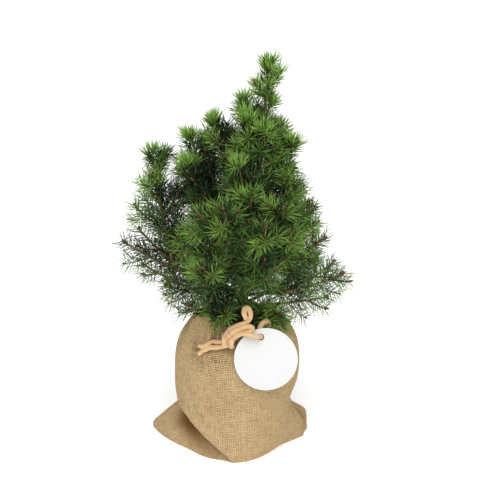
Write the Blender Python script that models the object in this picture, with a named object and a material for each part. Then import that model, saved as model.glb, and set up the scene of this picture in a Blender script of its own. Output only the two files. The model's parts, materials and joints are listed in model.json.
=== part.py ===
"""A dwarf spruce sapling, 0.40 m tall, with its root ball in a burlap sack that a lace ties.

Lengths are in metres and +Z is up. The origin is the middle of the sack's flat underside.
The lace and the tag are on the -Y side, and +X is to the right as they are looked at.
"""

import math
import random
from collections import namedtuple

import bmesh
import bpy
import numpy as np
from mathutils import Matrix, Vector
from mathutils.geometry import interpolate_bezier

GAP = 0.0003
SHORTEST_EDGE = 0.0000015
UP = Vector((0, 0, 1))
# How far a curve keeps to the directions at its ends, as a share of its span
HANDLE = 0.36

# Sack: a pillow-shaped bag round a pot, so two of its corners stick out as ears, and its
# cloth swells a little at the foot of the front
SACK_HEIGHT = 0.127
BELLY_HEIGHT = 0.080
BELLY_RADIUS = 0.0618
FOOT_RADIUS = 0.0560
MOUTH_RADIUS = 0.0435
MOUTH_SHIFT = 0.0020
WAIST_DEPTH, WAIST_HEIGHT, WAIST_SPREAD, WAIST_WIDTH = 0.0085, 0.043, 0.017, 38
NIP_DEPTH, NIP_HEIGHT, NIP_SPREAD, NIP_AZIMUTH, NIP_WIDTH = 0.0042, 0.039, 0.011, 184, 40
FOOT_TUCK, FOOT_TUCK_HEIGHT, FOOT_TUCK_AZIMUTH, FOOT_TUCK_WIDTH = 0.0068, 0.028, 318, 32
SACK_SIDES, SACK_RINGS = 64, 14
HEM = 0.0030
SOIL_TOP, SOIL_DEPTH = 0.1175, 0.0060
EAR_SHARPNESS = 1.9
# An ear is blunt over an angle, and its underside is tucked in by a share of its reach
Ear = namedtuple("Ear", "azimuth tip top front_width back_width fullness blunt tuck")
EAR_TUCK_HEIGHT = 0.010
EARS = (
    Ear(168, 0.0955, 0.033, 60, 52, 0.95, 0.5, 0.22),
    Ear(358, 0.0685, 0.038, 28, 48, 1.0, 2, 0.0),
    Ear(10, 0.0730, 0.0272, 14, 26, 14.0, 2, 0.0),
    Ear(267, 0.0650, 0.050, 58, 52, 1.5, 16, 0.10),
)
# A crease through compass angles and heights, with a raised lip, and a pocket to the left of its
# way as seen from outside
Crease = namedtuple("Crease", "route lip pocket width")
LIP_WIDTH, LIP_EDGE, POCKET_EDGE = 0.007, 0.0016, 0.0022
CREASES = (
    Crease(
        (
            (267, 0.001), (259, 0.011), (252, 0.0165), (244, 0.023), (235, 0.030), (218, 0.0393),
            (204, 0.043), (184, 0.044),
        ),
        0.0030, 0.0135, 0.014,
    ),
    Crease(((353, 0.044), (355, 0.034), (358, 0.024), (1, 0.014), (4, 0.003)), 0.0014, 0.0045, 0.006),
)
# Gathers of the neck, as how deep and how many, above the height where they begin
NECK_HEIGHT = 0.088
GATHERS = ((0.0011, 9, 0.8), (0.0009, 14, 2.1))
KNOT_DENT, KNOT_DENT_WIDTH = 0.0070, 15

# Lace, with the knot at one compass angle of the sack's neck, and the tag
LACE_RADIUS = 0.0023
KNOT_AZIMUTH, KNOT_HEIGHT, KNOT_RADIUS = 260.5, 0.1185, 0.0053
KNOT_STAND_OFF = 0.0076
# The two strands on the sack, as compass angles and heights from their ends to the knot
BANDS = (
    ((229.5, 0.1142), (234, 0.1160), (241, 0.1176), (250, 0.1184), (260.5, 0.1192)),
    ((231.5, 0.1070), (236, 0.1108), (242, 0.1133), (251, 0.1145), (260.5, 0.1152)),
)
# The two turns over the knot, as how far right of its middle, radius and how far the top leans right
WRAPS = ((-0.0042, 0.0055, -6), (0.0040, 0.0061, 10))
LACE_ROUTES = (
    # The strand that rises from the knot and ends in a curl
    (
        (-0.0087, -0.0490, 0.1233),
        (-0.0089, -0.0515, 0.1307),
        (-0.0045, -0.0550, 0.1380),
        (0.0031, -0.0570, 0.1426),
        (0.0089, -0.0570, 0.1448),
        (0.0127, -0.0560, 0.1482),
        (0.0139, -0.0550, 0.1533),
        (0.0123, -0.0545, 0.1581),
        (0.0097, -0.0540, 0.1591),
        (0.0081, -0.0550, 0.1568),
        (0.0086, -0.0575, 0.1531),
        (0.0104, -0.0585, 0.1497),
    ),
    # The strand that folds back on itself
    (
        (-0.0069, -0.0510, 0.1235),
        (-0.0066, -0.0545, 0.1301),
        (-0.0021, -0.0585, 0.1364),
        (0.0054, -0.0605, 0.1408),
        (0.0127, -0.0600, 0.1426),
        (0.0160, -0.0590, 0.1399),
        (0.0134, -0.0600, 0.1373),
        (0.0072, -0.0600, 0.1365),
        (0.0013, -0.0585, 0.1334),
        (-0.0022, -0.0550, 0.1284),
    ),
    # The strand through the tag's hole, then up behind the tag and over the hem
    (
        (-0.0022, -0.0520, 0.1258),
        (0.0013, -0.0585, 0.1324),
        (0.0078, -0.0622, 0.1361),
        (0.0141, -0.0634, 0.1350),
        (0.0199, -0.0626, 0.1334),
        (0.0226, -0.0598, 0.1318),
        (0.0236, -0.0550, 0.1304),
        (0.0232, -0.0510, 0.1320),
        (0.0230, -0.0485, 0.1362),
        (0.0260, -0.0460, 0.1405),
        (0.0300, -0.0430, 0.1405),
        (0.0318, -0.0385, 0.1355),
        (0.0305, -0.0335, 0.1315),
        (0.0270, -0.0285, 0.1285),
    ),
)
TAG_RADIUS, TAG_THICKNESS = 0.0305, 0.0010
TAG_CENTRE = Vector((0.0288, -0.0600, 0.1088))
TAG_TILT = 10
TAG_HOLE = (-0.0048, 0.0218)
TAG_HOLE_RADIUS = 0.0031

# Trunk
TRUNK_FOOT = Vector((0.0040, 0, SOIL_TOP + GAP))
TRUNK_TIP = Vector((0.0278, 0, 0.340))
LEADER_TIP = Vector((0.0310, -0.0010, 0.3810))
TRUNK_SWAY = 0.0022
TRUNK_FOOT_RADIUS, TRUNK_TIP_RADIUS = 0.0048, 0.0015
ROOT_FLARE, FLARE_HEIGHT = 0.0030, 0.009
TRUNK_SIDES = 10

# Each limb leaves the trunk at a height, or its parent at a share of the parent's length,
# and reaches out and up along a compass angle: 0 is +X, 180 is -X and 270 is to the front.
# Its first share is a bare bough, and the rest is the stem of a mass. Its vigour runs from 0,
# thin with few twigs, to 1, bushy with short and upright twigs.
Limb = namedtuple("Limb", "name parent at azimuth reach rise upturn bare vigour")
LIMBS = (
    Limb("upper_left", None, 0.315, 164, 0.018, 0.030, 0.3, 0, 0.8),
    Limb("upper_right", None, 0.322, 20, 0.008, 0.025, 0.3, 0, 0.7),
    Limb("upper_front_left", None, 0.292, 240, 0.025, 0.045, 0.4, 0, 1.0),
    Limb("upper_front", None, 0.284, 279, 0.030, 0.046, 0.4, 0, 1.0),
    Limb("shoulder_right", None, 0.258, 343, 0.035, 0.050, 0.3, 0, 0.8),
    Limb("shoulder_right_top", "shoulder_right", 0.30, 20, 0.011, 0.050, 0.3, 0, 0.8),
    Limb("right_upper", None, 0.226, 347, 0.046, 0.048, 0.3, 0, 0.6),
    Limb("right_upper_back", "right_upper", 0.25, 30, 0.038, 0.026, 0.3, 0, 0.5),
    Limb("right_mid", None, 0.196, 345, 0.062, 0.052, 0.3, 0.22, 0.5),
    Limb("right_mid_back", "right_mid", 0.36, 20, 0.048, 0.012, 0.3, 0, 0.3),
    Limb("right_side", None, 0.172, 339, 0.080, 0.048, 0.3, 0.22, 0.5),
    Limb("right_low", None, 0.151, 351, 0.097, 0.028, 0.3, 0.24, 0.2),
    Limb("right_low_back", "right_low", 0.38, 24, 0.058, 0.024, 0.3, 0, 0.2),
    Limb("right_foot", None, 0.139, 4, 0.087, 0.008, 0.1, 0.28, 0.1),
    Limb("front_right_foot", None, 0.134, 312, 0.057, 0.014, 0.3, 0, 0.6),
    Limb("left_high", None, 0.212, 176, 0.058, 0.099, 0.5, 0.20, 0.9),
    Limb("left_high_top", "left_high", 0.45, 200, 0.016, 0.054, 0.3, 0, 0.9),
    Limb("left_high_back", "left_high", 0.34, 160, 0.047, 0.044, 0.5, 0, 0.6),
    Limb("left_high_front", "left_high", 0.28, 202, 0.044, 0.050, 0.5, 0, 0.8),
    Limb("left_high_under", "left_high", 0.22, 186, 0.042, 0.020, 0.3, 0, 0.5),
    Limb("left_crown", None, 0.248, 180, 0.039, 0.081, 0.5, 0, 1.0),
    Limb("front_tuft", None, 0.230, 254, 0.047, 0.070, 0.5, 0, 1.0),
    Limb("left_far", None, 0.151, 187, 0.120, 0.063, 0.2, 0.22, 0.2),
    Limb("left_far_upper", "left_far", 0.42, 178, 0.051, 0.050, 0.2, 0, 0.2),
    Limb("left_spire", "left_far", 0.55, 172, 0.020, 0.116, 0.1, 0, 0.9),
    Limb("left_mid", None, 0.180, 192, 0.066, 0.046, 0.4, 0.22, 0.5),
    Limb("left_low", None, 0.139, 190, 0.097, 0.050, 0.2, 0.24, 0.2),
    Limb("left_low_under", "left_low", 0.36, 172, 0.040, 0.008, 0.2, 0, 0.2),
    Limb("left_foot", None, 0.131, 200, 0.054, 0.016, 0.4, 0, 0.5),
    Limb("front_foot", None, 0.135, 245, 0.060, 0.022, 0.3, 0, 0.6),
    Limb("front_left", None, 0.152, 243, 0.083, 0.054, 0.3, 0.22, 0.5),
    Limb("front_right", None, 0.158, 284, 0.083, 0.062, 0.3, 0.22, 0.5),
    Limb("front_left_upper", None, 0.170, 226, 0.066, 0.058, 0.3, 0.20, 0.5),
    Limb("front_right_upper", None, 0.205, 302, 0.058, 0.052, 0.4, 0, 0.6),
    Limb("front_mid_left", None, 0.190, 253, 0.077, 0.074, 0.4, 0.20, 0.5),
    Limb("front_mid_left_side", "front_mid_left", 0.34, 218, 0.046, 0.042, 0.4, 0, 0.5),
    Limb("front_mid_right", None, 0.180, 283, 0.079, 0.068, 0.4, 0.20, 0.5),
    Limb("front_mid_right_side", "front_mid_right", 0.34, 325, 0.046, 0.038, 0.4, 0, 0.5),
    Limb("front_upper", None, 0.216, 270, 0.060, 0.054, 0.4, 0, 0.6),
    Limb("back_upper", None, 0.272, 80, 0.032, 0.050, 0.4, 0, 0.9),
    Limb("back_left_upper", None, 0.240, 122, 0.045, 0.062, 0.5, 0, 0.8),
    Limb("back_right_upper", None, 0.233, 48, 0.048, 0.056, 0.4, 0, 0.8),
    Limb("back_mid", None, 0.203, 92, 0.070, 0.060, 0.4, 0.20, 0.5),
    Limb("back_left_mid", None, 0.184, 137, 0.084, 0.064, 0.4, 0.22, 0.5),
    Limb("back_right_mid", None, 0.175, 45, 0.082, 0.050, 0.4, 0.22, 0.5),
    Limb("back_low", None, 0.150, 92, 0.090, 0.040, 0.3, 0.24, 0.3),
    Limb("back_foot", "back_low", 0.30, 112, 0.046, -0.002, 0.3, 0, 0.2),
    Limb("back_left_low", None, 0.144, 142, 0.098, 0.044, 0.3, 0.24, 0.3),
    Limb("back_right_low", None, 0.141, 40, 0.090, 0.028, 0.3, 0.24, 0.3),
)
LIMB_TIP_RADIUS, LIMB_THICKENING, LIMB_SAG = 0.0008, 0.0110, 0.6
BOUGH_STEP, STEM_STEP = 0.010, 0.003

# Twigs branch off every stem on a spiral, shorter towards its tip
TWIG_SPACING, TWIG_SPACING_SHARE = 0.0145, 0.25
TWIG_FIRST, TWIG_LAST = 0.20, 0.86
TWIG_LENGTH, TWIG_GROWTH = 0.015, 0.32
TWIG_SPREAD, TWIG_LIFT = 48, 0.30
TWIG_ROOM, TWIG_GAP, TWIG_SHORTEST = 0.0060, 0.0045, 0.010
TWIG_RADIUS, TWIG_TAPER = 0.0009, 0.7
TWIG_SHORTENING, TWIG_SCATTER = 0.8, (0.85, 1.1)
TWIG_BEYOND, TWIG_SPARSE = 0.0045, 2.2
GOLDEN_ANGLE = 137.5
MARK_SPACING = 0.0015

# Needles stand out of the sides of a three-sided core, each for several real ones
NEEDLE_LENGTH, NEEDLE_LEAN = 0.0135, 48
NEEDLE_SPACING = 0.0095
NEEDLE_SHARES = (1, 0.75, 0.5)
NEEDLE_ROOM = 0.0016
BARE_FOOT = 0.004
CORE_TWIST = 38
CORE_ROLLS = range(0, 120, 7)


def clear_scene():
    """Leaves an empty scene."""
    for obj in list(bpy.data.objects):
        bpy.data.objects.remove(obj)


def material(name, colour, roughness, metallic=0.0):
    """A Principled BSDF of one colour."""
    made = bpy.data.materials.new(name)
    made.use_nodes = True
    shader = made.node_tree.nodes["Principled BSDF"]
    shader.inputs["Base Color"].default_value = (*colour, 1)
    shader.inputs["Roughness"].default_value = roughness
    shader.inputs["Metallic"].default_value = metallic
    return made


def collection(name):
    """A new collection, linked to the scene."""
    made = bpy.data.collections.new(name)
    bpy.context.scene.collection.children.link(made)
    return made


def add(name, shape, into, finish=None):
    """An object for a bmesh, a mesh or a curve."""
    if isinstance(shape, bmesh.types.BMesh):
        mesh = bpy.data.meshes.new(name)
        shape.to_mesh(mesh)
        shape.free()
        shape = mesh
    made = bpy.data.objects.new(name, shape)
    into.objects.link(made)
    if finish is not None:
        shape.materials.append(finish)
    return made


def smooth(obj, angle=40):
    """Shades a round piece smooth."""
    obj.data.shade_smooth()
    obj.data.set_sharp_from_angle(angle=math.radians(angle))


def compass(azimuth):
    """The level unit vector at a compass angle in degrees."""
    return Vector((math.cos(math.radians(azimuth)), math.sin(math.radians(azimuth)), 0))


def azimuth_of(point):
    """The compass angle of a point seen from the Z axis, from 0 to 360."""
    return math.degrees(math.atan2(point.y, point.x)) % 360


def turn_between(azimuth, other):
    """The signed angle in degrees from one compass angle to another."""
    return (azimuth - other + 180) % 360 - 180


def eased(share):
    """0 to 1 with a soft start and end."""
    share = min(max(share, 0.0), 1.0)
    return share * share * (3 - 2 * share)


def bell(offset, width):
    """A bell curve of height 1 with this half width."""
    return math.exp(-((offset / width) ** 2))


# Paths


def length_of(path):
    """The length of a polyline."""
    return sum((b - a).length for a, b in zip(path, path[1:]))


def point_at(path, distance):
    """The point this far along a polyline, and the direction there."""
    for start, end in zip(path, path[1:]):
        step = (end - start).length
        if distance <= step:
            break
        distance -= step
    along = (end - start).normalized()
    return start + along * min(distance, step), along


def stretch_of(path, start, end, spacing):
    """The polyline between two distances along it, in equal steps of about this spacing."""
    steps = max(2, round((end - start) / spacing))
    return [point_at(path, start + (end - start) * i / steps)[0] for i in range(steps + 1)]


def bent(start, start_way, end, end_way, count=24):
    """A smooth curve with these directions at its ends."""
    pull = (end - start).length * HANDLE
    first = start + start_way.normalized() * pull
    last = end - end_way.normalized() * pull
    return interpolate_bezier(start, first, last, end, count)


def through(route, count=4):
    """A smooth curve through all the points of a route."""
    route = [Vector(point) for point in route]
    ways = [route[min(i + 1, len(route) - 1)] - route[max(i - 1, 0)] for i in range(len(route))]
    path = [route[0]]
    for i in range(len(route) - 1):
        path += bent(route[i], ways[i], route[i + 1], ways[i + 1], count)[1:]
    return path


def tube(name, path, radii, into, finish, roundness=1):
    """A curve object with its own thickness at each point and filled caps."""
    curve = bpy.data.curves.new(name, "CURVE")
    curve.dimensions = "3D"
    curve.bevel_depth = 1
    curve.bevel_resolution = roundness
    curve.use_fill_caps = True
    spline = curve.splines.new("POLY")
    spline.points.add(len(path) - 1)
    for place, point, radius in zip(spline.points, path, radii):
        place.co = (*point, 1)
        place.radius = radius
    return add(name, curve, into, finish)


def barrel(sides, rings, place):
    """A closed barrel with each vertex where place(angle in degrees, ring number) puts it."""
    shape = bmesh.new()
    bmesh.ops.create_cone(shape, cap_ends=True, segments=sides, radius1=1, radius2=1, depth=1)
    upright = [e for e in shape.edges if abs(e.verts[0].co.z - e.verts[1].co.z) > 0.5]
    if rings > 1:
        bmesh.ops.subdivide_edges(shape, edges=upright, cuts=rings - 1)
    for vertex in shape.verts:
        ring = round((vertex.co.z + 0.5) * rings)
        vertex.co = place(azimuth_of(vertex.co), ring)
    bmesh.ops.recalc_face_normals(shape, faces=shape.faces)
    return shape


def largest_body(mesh):
    """Leaves only the mesh's largest connected body, with no sealed hollow or scrap."""
    shape = bmesh.new()
    shape.from_mesh(mesh)
    bmesh.ops.remove_doubles(shape, verts=shape.verts, dist=SHORTEST_EDGE)
    waiting = set(shape.faces)
    bodies = []
    while waiting:
        body = {waiting.pop()}
        border = list(body)
        while border:
            face = border.pop()
            near = {f for edge in face.edges for f in edge.link_faces} & waiting
            waiting -= near
            body |= near
            border += near
        bodies.append(body)
    largest = max(bodies, key=lambda faces: sum(face.calc_area() for face in faces))
    rest = [face for body in bodies if body is not largest for face in body]
    bmesh.ops.delete(shape, geom=rest, context="FACES")
    bmesh.ops.triangulate(shape, faces=shape.faces)
    shape.to_mesh(mesh)
    shape.free()


def touches_itself(mesh):
    """Whether two walls of the mesh meet in one edge, or one of its edges has no length."""
    shape = bmesh.new()
    shape.from_mesh(mesh)
    faulty = [
        edge for edge in shape.edges
        if len(edge.link_faces) != 2 or edge.calc_length() < SHORTEST_EDGE
    ]
    shape.free()
    return bool(faulty)


def fused(name, pieces, into, finish):
    """One object made of closed pieces that overlap, by a Boolean union on a collection."""
    group = collection(name + "_pieces")
    for piece in pieces:
        bmesh.ops.triangulate(piece, faces=piece.faces)
    for index, piece in enumerate(pieces[1:]):
        add(f"{name}_piece_{index}", piece, group)
    made = add(name, pieces[0], into)
    if group.objects:
        union = made.modifiers.new("Union", "BOOLEAN")
        union.operation = "UNION"
        union.operand_type = "COLLECTION"
        union.collection = group
        union.solver = "MANIFOLD"
    graph = bpy.context.evaluated_depsgraph_get()
    made.data = bpy.data.meshes.new_from_object(made.evaluated_get(graph))
    made.modifiers.clear()
    largest_body(made.data)
    made.data.materials.clear()
    made.data.materials.append(finish)
    for piece in list(group.objects):
        bpy.data.objects.remove(piece)
    bpy.data.collections.remove(group)
    return made


# Sack


def relief_of(crease, azimuth, height):
    """How far the cloth stands out at a crease."""
    scale = math.radians(BELLY_RADIUS)
    first = crease.route[0][0]
    stops = [(turn_between(angle, first) * scale, level) for angle, level in crease.route]
    total = sum(math.dist(start, end) for start, end in zip(stops, stops[1:]))
    across = turn_between(azimuth, first) * scale
    nearest, beside, share, passed = 1.0, 0.0, 0.0, 0.0
    for start, end in zip(stops, stops[1:]):
        run, length = (end[0] - start[0], end[1] - start[1]), math.dist(start, end)
        from_start = across - start[0], height - start[1]
        along = (from_start[0] * run[0] + from_start[1] * run[1]) / length**2
        along = min(max(along, 0), 1)
        away = math.hypot(from_start[0] - along * run[0], from_start[1] - along * run[1])
        if away < nearest:
            nearest = away
            to_left = run[0] * from_start[1] > run[1] * from_start[0]
            beside = away if to_left else -away
            share = (passed + along * length) / total
        passed += length
    lip = crease.lip * bell(min(beside, 0), LIP_WIDTH) * (1 - eased(beside / LIP_EDGE))
    pocket = crease.pocket * eased(beside / POCKET_EDGE) * bell(max(beside, 0), crease.width)
    return (lip - pocket) * max(math.sin(math.pi * share), 0) ** 0.5


def fold_of(azimuth, height):
    """How far the cloth stands out in its gathers, its dent at the knot and its creases."""
    near_mouth = eased((height - NECK_HEIGHT) / (SACK_HEIGHT - NECK_HEIGHT))
    turn = math.radians(azimuth)
    gathers = sum(depth * math.sin(count * turn + phase) for depth, count, phase in GATHERS)
    dent = -KNOT_DENT * bell(turn_between(azimuth, KNOT_AZIMUTH), KNOT_DENT_WIDTH)
    creases = sum(relief_of(crease, azimuth, height) for crease in CREASES)
    return near_mouth * (gathers + dent) + creases


def sack_radius(azimuth, height):
    """The sack's radius at a compass angle and a height."""
    if height > BELLY_HEIGHT:
        share = (height - BELLY_HEIGHT) / (SACK_HEIGHT - BELLY_HEIGHT)
        radius = BELLY_RADIUS - (BELLY_RADIUS - MOUTH_RADIUS) * share**2.6
    else:
        share = (BELLY_HEIGHT - height) / BELLY_HEIGHT
        radius = BELLY_RADIUS - (BELLY_RADIUS - FOOT_RADIUS) * share**4
    for ear in EARS:
        turn = turn_between(azimuth, ear.azimuth)
        to_front = (turn > 0) == (turn_between(270, ear.azimuth) > 0)
        width = ear.front_width if to_front else ear.back_width
        away = math.hypot(turn, ear.blunt) - ear.blunt
        if away < width:
            beak = (1 - away / width) ** EAR_SHARPNESS
            lift = 1 - min(max(height / ear.top, 0), 1) ** ear.fullness
            lift -= ear.tuck * max(1 - height / EAR_TUCK_HEIGHT, 0) ** 2
            radius += (ear.tip - radius) * beak * lift
    off_right = turn_between(azimuth, 0) / WAIST_WIDTH
    off_waist = (height - WAIST_HEIGHT) / WAIST_SPREAD
    waist = WAIST_DEPTH * math.exp(-(off_waist**2) - off_right**2)
    off_left = turn_between(azimuth, NIP_AZIMUTH) / NIP_WIDTH
    off_nip = (height - NIP_HEIGHT) / NIP_SPREAD
    waist += NIP_DEPTH * math.exp(-(off_nip**2) - off_left**2)
    low = max(1 - height / FOOT_TUCK_HEIGHT, 0) ** 2
    waist += FOOT_TUCK * low * bell(turn_between(azimuth, FOOT_TUCK_AZIMUTH), FOOT_TUCK_WIDTH)
    return radius - waist + fold_of(azimuth, height)


def sack_axis(height):
    """The middle of the sack at a height: its mouth leans a little to the right."""
    return Vector((MOUTH_SHIFT * (height / SACK_HEIGHT) ** 2, 0, height))


def sack_point(azimuth, height):
    """A point on the sack."""
    return sack_axis(height) + compass(azimuth) * sack_radius(azimuth, height)


def slope_of_sack(azimuth, height):
    """The directions square to the sack's cloth and up along it."""
    step = UP * 0.002
    upward = sack_point(azimuth, height + step.z) - sack_point(azimuth, height - step.z)
    outward = compass(azimuth) - compass(azimuth).project(upward)
    return outward.normalized(), upward.normalized()


def clear_of_sack(point, room):
    """Whether a point is this far above the sack's mouth or outside its side."""
    height = min(max(point.z, 0), SACK_HEIGHT)
    from_axis = point - sack_axis(height)
    outside = from_axis.xy.length - sack_radius(azimuth_of(from_axis), height)
    return point.z > SACK_HEIGHT + room or outside > room


def sack():
    """The filled sack with its ears and hem, dished at the top for the soil."""

    def place(azimuth, ring):
        share = (1 - math.cos(math.pi * ring / SACK_RINGS)) / 2
        return sack_point(azimuth, SACK_HEIGHT * share)

    shape = barrel(SACK_SIDES, SACK_RINGS, place)
    mouth = max(shape.faces, key=lambda face: face.calc_center_median().z)
    bmesh.ops.inset_region(shape, faces=[mouth], thickness=HEM)
    dish = bmesh.ops.extrude_face_region(shape, geom=[mouth])
    bmesh.ops.delete(shape, geom=[mouth], context="FACES")
    for item in dish["geom"]:
        if isinstance(item, bmesh.types.BMVert):
            item.co.z = SOIL_TOP - SOIL_DEPTH
    bmesh.ops.recalc_face_normals(shape, faces=shape.faces)
    return shape


def soil():
    """The top of the root ball, inside the sack's mouth."""

    def place(azimuth, ring):
        step = 360 / SACK_SIDES
        rim = min(sack_radius(azimuth + turn, SACK_HEIGHT) for turn in (-step, 0, step))
        edge = sack_axis(SACK_HEIGHT) + compass(azimuth) * (rim - HEM - 4 * GAP)
        return Vector((edge.x, edge.y, SOIL_TOP if ring else SOIL_TOP - SOIL_DEPTH + GAP))

    return barrel(SACK_SIDES, 1, place)


# Lace and tag


def knot_centre():
    """The middle of the knot, which lies in the dent of the sack's neck."""
    outward, _ = slope_of_sack(KNOT_AZIMUTH, KNOT_HEIGHT)
    return sack_point(KNOT_AZIMUTH, KNOT_HEIGHT) + outward * KNOT_STAND_OFF


def band_route(places):
    """One of the two strands on the sack, from its end to the knot."""
    route = []
    for index, (azimuth, height) in enumerate(places):
        share = index / (len(places) - 1)
        stand_off = LACE_RADIUS + 2 * GAP + (KNOT_STAND_OFF - LACE_RADIUS) * share**3
        outward, _ = slope_of_sack(azimuth, height)
        route.append(sack_point(azimuth, height) + outward * stand_off)
    return route


def wrap_route(beside, radius, lean):
    """One turn of lace over the knot, open at the back."""
    right = compass(KNOT_AZIMUTH + 90)
    outward, upward = slope_of_sack(KNOT_AZIMUTH, KNOT_HEIGHT)
    upward = upward + right * math.tan(math.radians(lean))
    middle = knot_centre() + right * beside
    route = []
    for degrees in range(-135, 136, 30):
        turn = math.radians(degrees)
        route.append(middle + (outward * math.cos(turn) + upward * math.sin(turn)) * radius)
    return route


def knot_core():
    """The lump of lace inside the knot."""
    shape = bmesh.new()
    bmesh.ops.create_icosphere(shape, subdivisions=2, radius=KNOT_RADIUS)
    bmesh.ops.translate(shape, verts=shape.verts, vec=knot_centre())
    return shape


def lace_paths():
    """The middle lines of all strands of lace."""
    routes = [band_route(places) for places in BANDS]
    routes += [wrap_route(*wrap) for wrap in WRAPS]
    routes += LACE_ROUTES
    return [through(route, 3) for route in routes]


def lace(into, finish):
    """The lace: its two strands on the sack, its knot, its loops and the strand to the tag."""
    pieces = [knot_core()]
    for path in lace_paths():
        strand = tube("strand", path, [LACE_RADIUS] * len(path), into, None, roundness=1)
        graph = bpy.context.evaluated_depsgraph_get()
        mesh = bpy.data.meshes.new_from_object(strand.evaluated_get(graph))
        bpy.data.objects.remove(strand)
        shape = bmesh.new()
        shape.from_mesh(mesh)
        bmesh.ops.remove_doubles(shape, verts=shape.verts, dist=1e-6)
        bmesh.ops.recalc_face_normals(shape, faces=shape.faces)
        pieces.append(shape)
    return fused("lace", pieces, into, finish)


def tag(into, finish):
    """A blank round card with a hole, leaning with its foot towards the viewer."""
    curve = bpy.data.curves.new("tag", "CURVE")
    curve.dimensions = "2D"
    curve.fill_mode = "BOTH"
    curve.extrude = TAG_THICKNESS / 2
    for (x, y), radius, count in (((0, 0), TAG_RADIUS, 48), (TAG_HOLE, TAG_HOLE_RADIUS, 16)):
        outline = curve.splines.new("POLY")
        outline.points.add(count - 1)
        outline.use_cyclic_u = True
        for i, point in enumerate(outline.points):
            edge = compass(360 * i / count) * radius
            point.co = (x + edge.x, y + edge.y, 0, 1)
    made = add("tag", curve, into, finish)
    made.location = TAG_CENTRE
    made.rotation_euler = (math.radians(90 - TAG_TILT), 0, 0)
    return made


# Tree


def trunk_point(height):
    """The middle of the trunk at a height: a slight lean to the right with a soft sway."""
    share = (height - TRUNK_FOOT.z) / (TRUNK_TIP.z - TRUNK_FOOT.z)
    point = TRUNK_FOOT.lerp(TRUNK_TIP, share)
    return point + Vector((0, 1, 0)) * TRUNK_SWAY * math.sin(math.tau * share)


def trunk_radius(height):
    """The trunk's radius at a height, with the root flare at the soil."""
    above = height - TRUNK_FOOT.z
    share = above / (TRUNK_TIP.z - TRUNK_FOOT.z)
    flare = ROOT_FLARE * max(0, 1 - above / FLARE_HEIGHT) ** 2
    return TRUNK_FOOT_RADIUS + (TRUNK_TIP_RADIUS - TRUNK_FOOT_RADIUS) * share + flare


def trunk():
    """The trunk, from its flat cut at the soil to where the leading shoot goes on."""
    heights = [TRUNK_FOOT.z + FLARE_HEIGHT * share for share in (0, 0.25, 0.5, 1)]
    while heights[-1] < TRUNK_TIP.z - 0.02:
        heights.append(heights[-1] + 0.013)
    heights.append(TRUNK_TIP.z)

    def place(azimuth, ring):
        height = heights[ring]
        return trunk_point(height) + compass(azimuth) * trunk_radius(height)

    return barrel(TRUNK_SIDES, len(heights) - 1, place)


def limb_paths():
    """Each limb's middle line, from the trunk's axis or its parent's to its tip."""
    paths = {}
    for limb in LIMBS:
        if limb.parent is None:
            start = trunk_point(limb.at)
        else:
            parent = paths[limb.parent]
            start = point_at(parent, limb.at * length_of(parent))[0]
        reach = compass(limb.azimuth) * limb.reach + UP * limb.rise
        way = reach.normalized()
        start_way = way - UP * limb.upturn * LIMB_SAG
        paths[limb.name] = bent(start, start_way, start + reach, way + UP * limb.upturn)
    return paths


def radius_at(path, distance):
    """A limb's radius this far from its root."""
    return LIMB_TIP_RADIUS + LIMB_THICKENING * (length_of(path) - distance)


def root_of(path):
    """How far along its middle line a limb clears the trunk's bark."""
    distance = 0.0
    while True:
        point, along = point_at(path, distance)
        from_axis = (point - trunk_point(point.z)).xy.length
        leaning = radius_at(path, distance) * abs(along.z)
        if from_axis > trunk_radius(point.z) + leaning + GAP:
            return distance
        distance += 0.0002


class Room:
    """The middle lines of all that stands in the crown, so that each mass keeps its own room."""

    def __init__(self):
        self.points = []
        self.masses = []
        self.shoots = []
        self.radii = []
        self.arrays = None

    def take(self, mass, shoot, path, radius):
        """Marks a polyline of this thickness as a mass's shoot."""
        for point in stretch_of(path, 0, length_of(path), MARK_SPACING):
            self.points.append(point)
            self.masses.append(mass)
            self.shoots.append(shoot)
            self.radii.append(radius)

    def settle(self):
        """Makes arrays of all that has been marked."""
        marked = (self.points, self.masses, self.shoots, self.radii)
        self.arrays = [np.array(column) for column in marked]

    def nearest(self, mass, shoot, point):
        """How near to a point are this shoot, the mass's other shoots, and anything else."""
        points, masses, shoots, radii = self.arrays
        away = np.linalg.norm(points - np.array(point), axis=1) - radii
        own = masses == mass
        this = own & (shoots == shoot)
        return [away[group].min(initial=1.0) for group in (this, own & ~this, ~own)]

    def holds_twig(self, mass, twig):
        """Whether a twig and its needles stay clear of other twigs, masses and the sack."""
        beyond = twig[-1] + (twig[-1] - twig[-2]).normalized() * TWIG_BEYOND
        for point in (*twig[3:], beyond):
            _, _, others = self.nearest(mass, None, point)
            if others < TWIG_ROOM or not clear_of_sack(point, TWIG_ROOM):
                return False
        return all(self.nearest(mass, None, point)[1] > TWIG_GAP for point in twig[5:])

    def holds_needle(self, mass, shoot, root, tip):
        """Whether a needle is nearer to its own shoot than to anything else, all along."""
        for point in (root.lerp(tip, 0.5), tip):
            this, own, others = self.nearest(mass, shoot, point)
            if own < this + GAP or others < this + NEEDLE_ROOM:
                return False
            if not clear_of_sack(point, NEEDLE_ROOM):
                return False
        return True


Shoot = namedtuple("Shoot", "path thick thin vigour")


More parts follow.
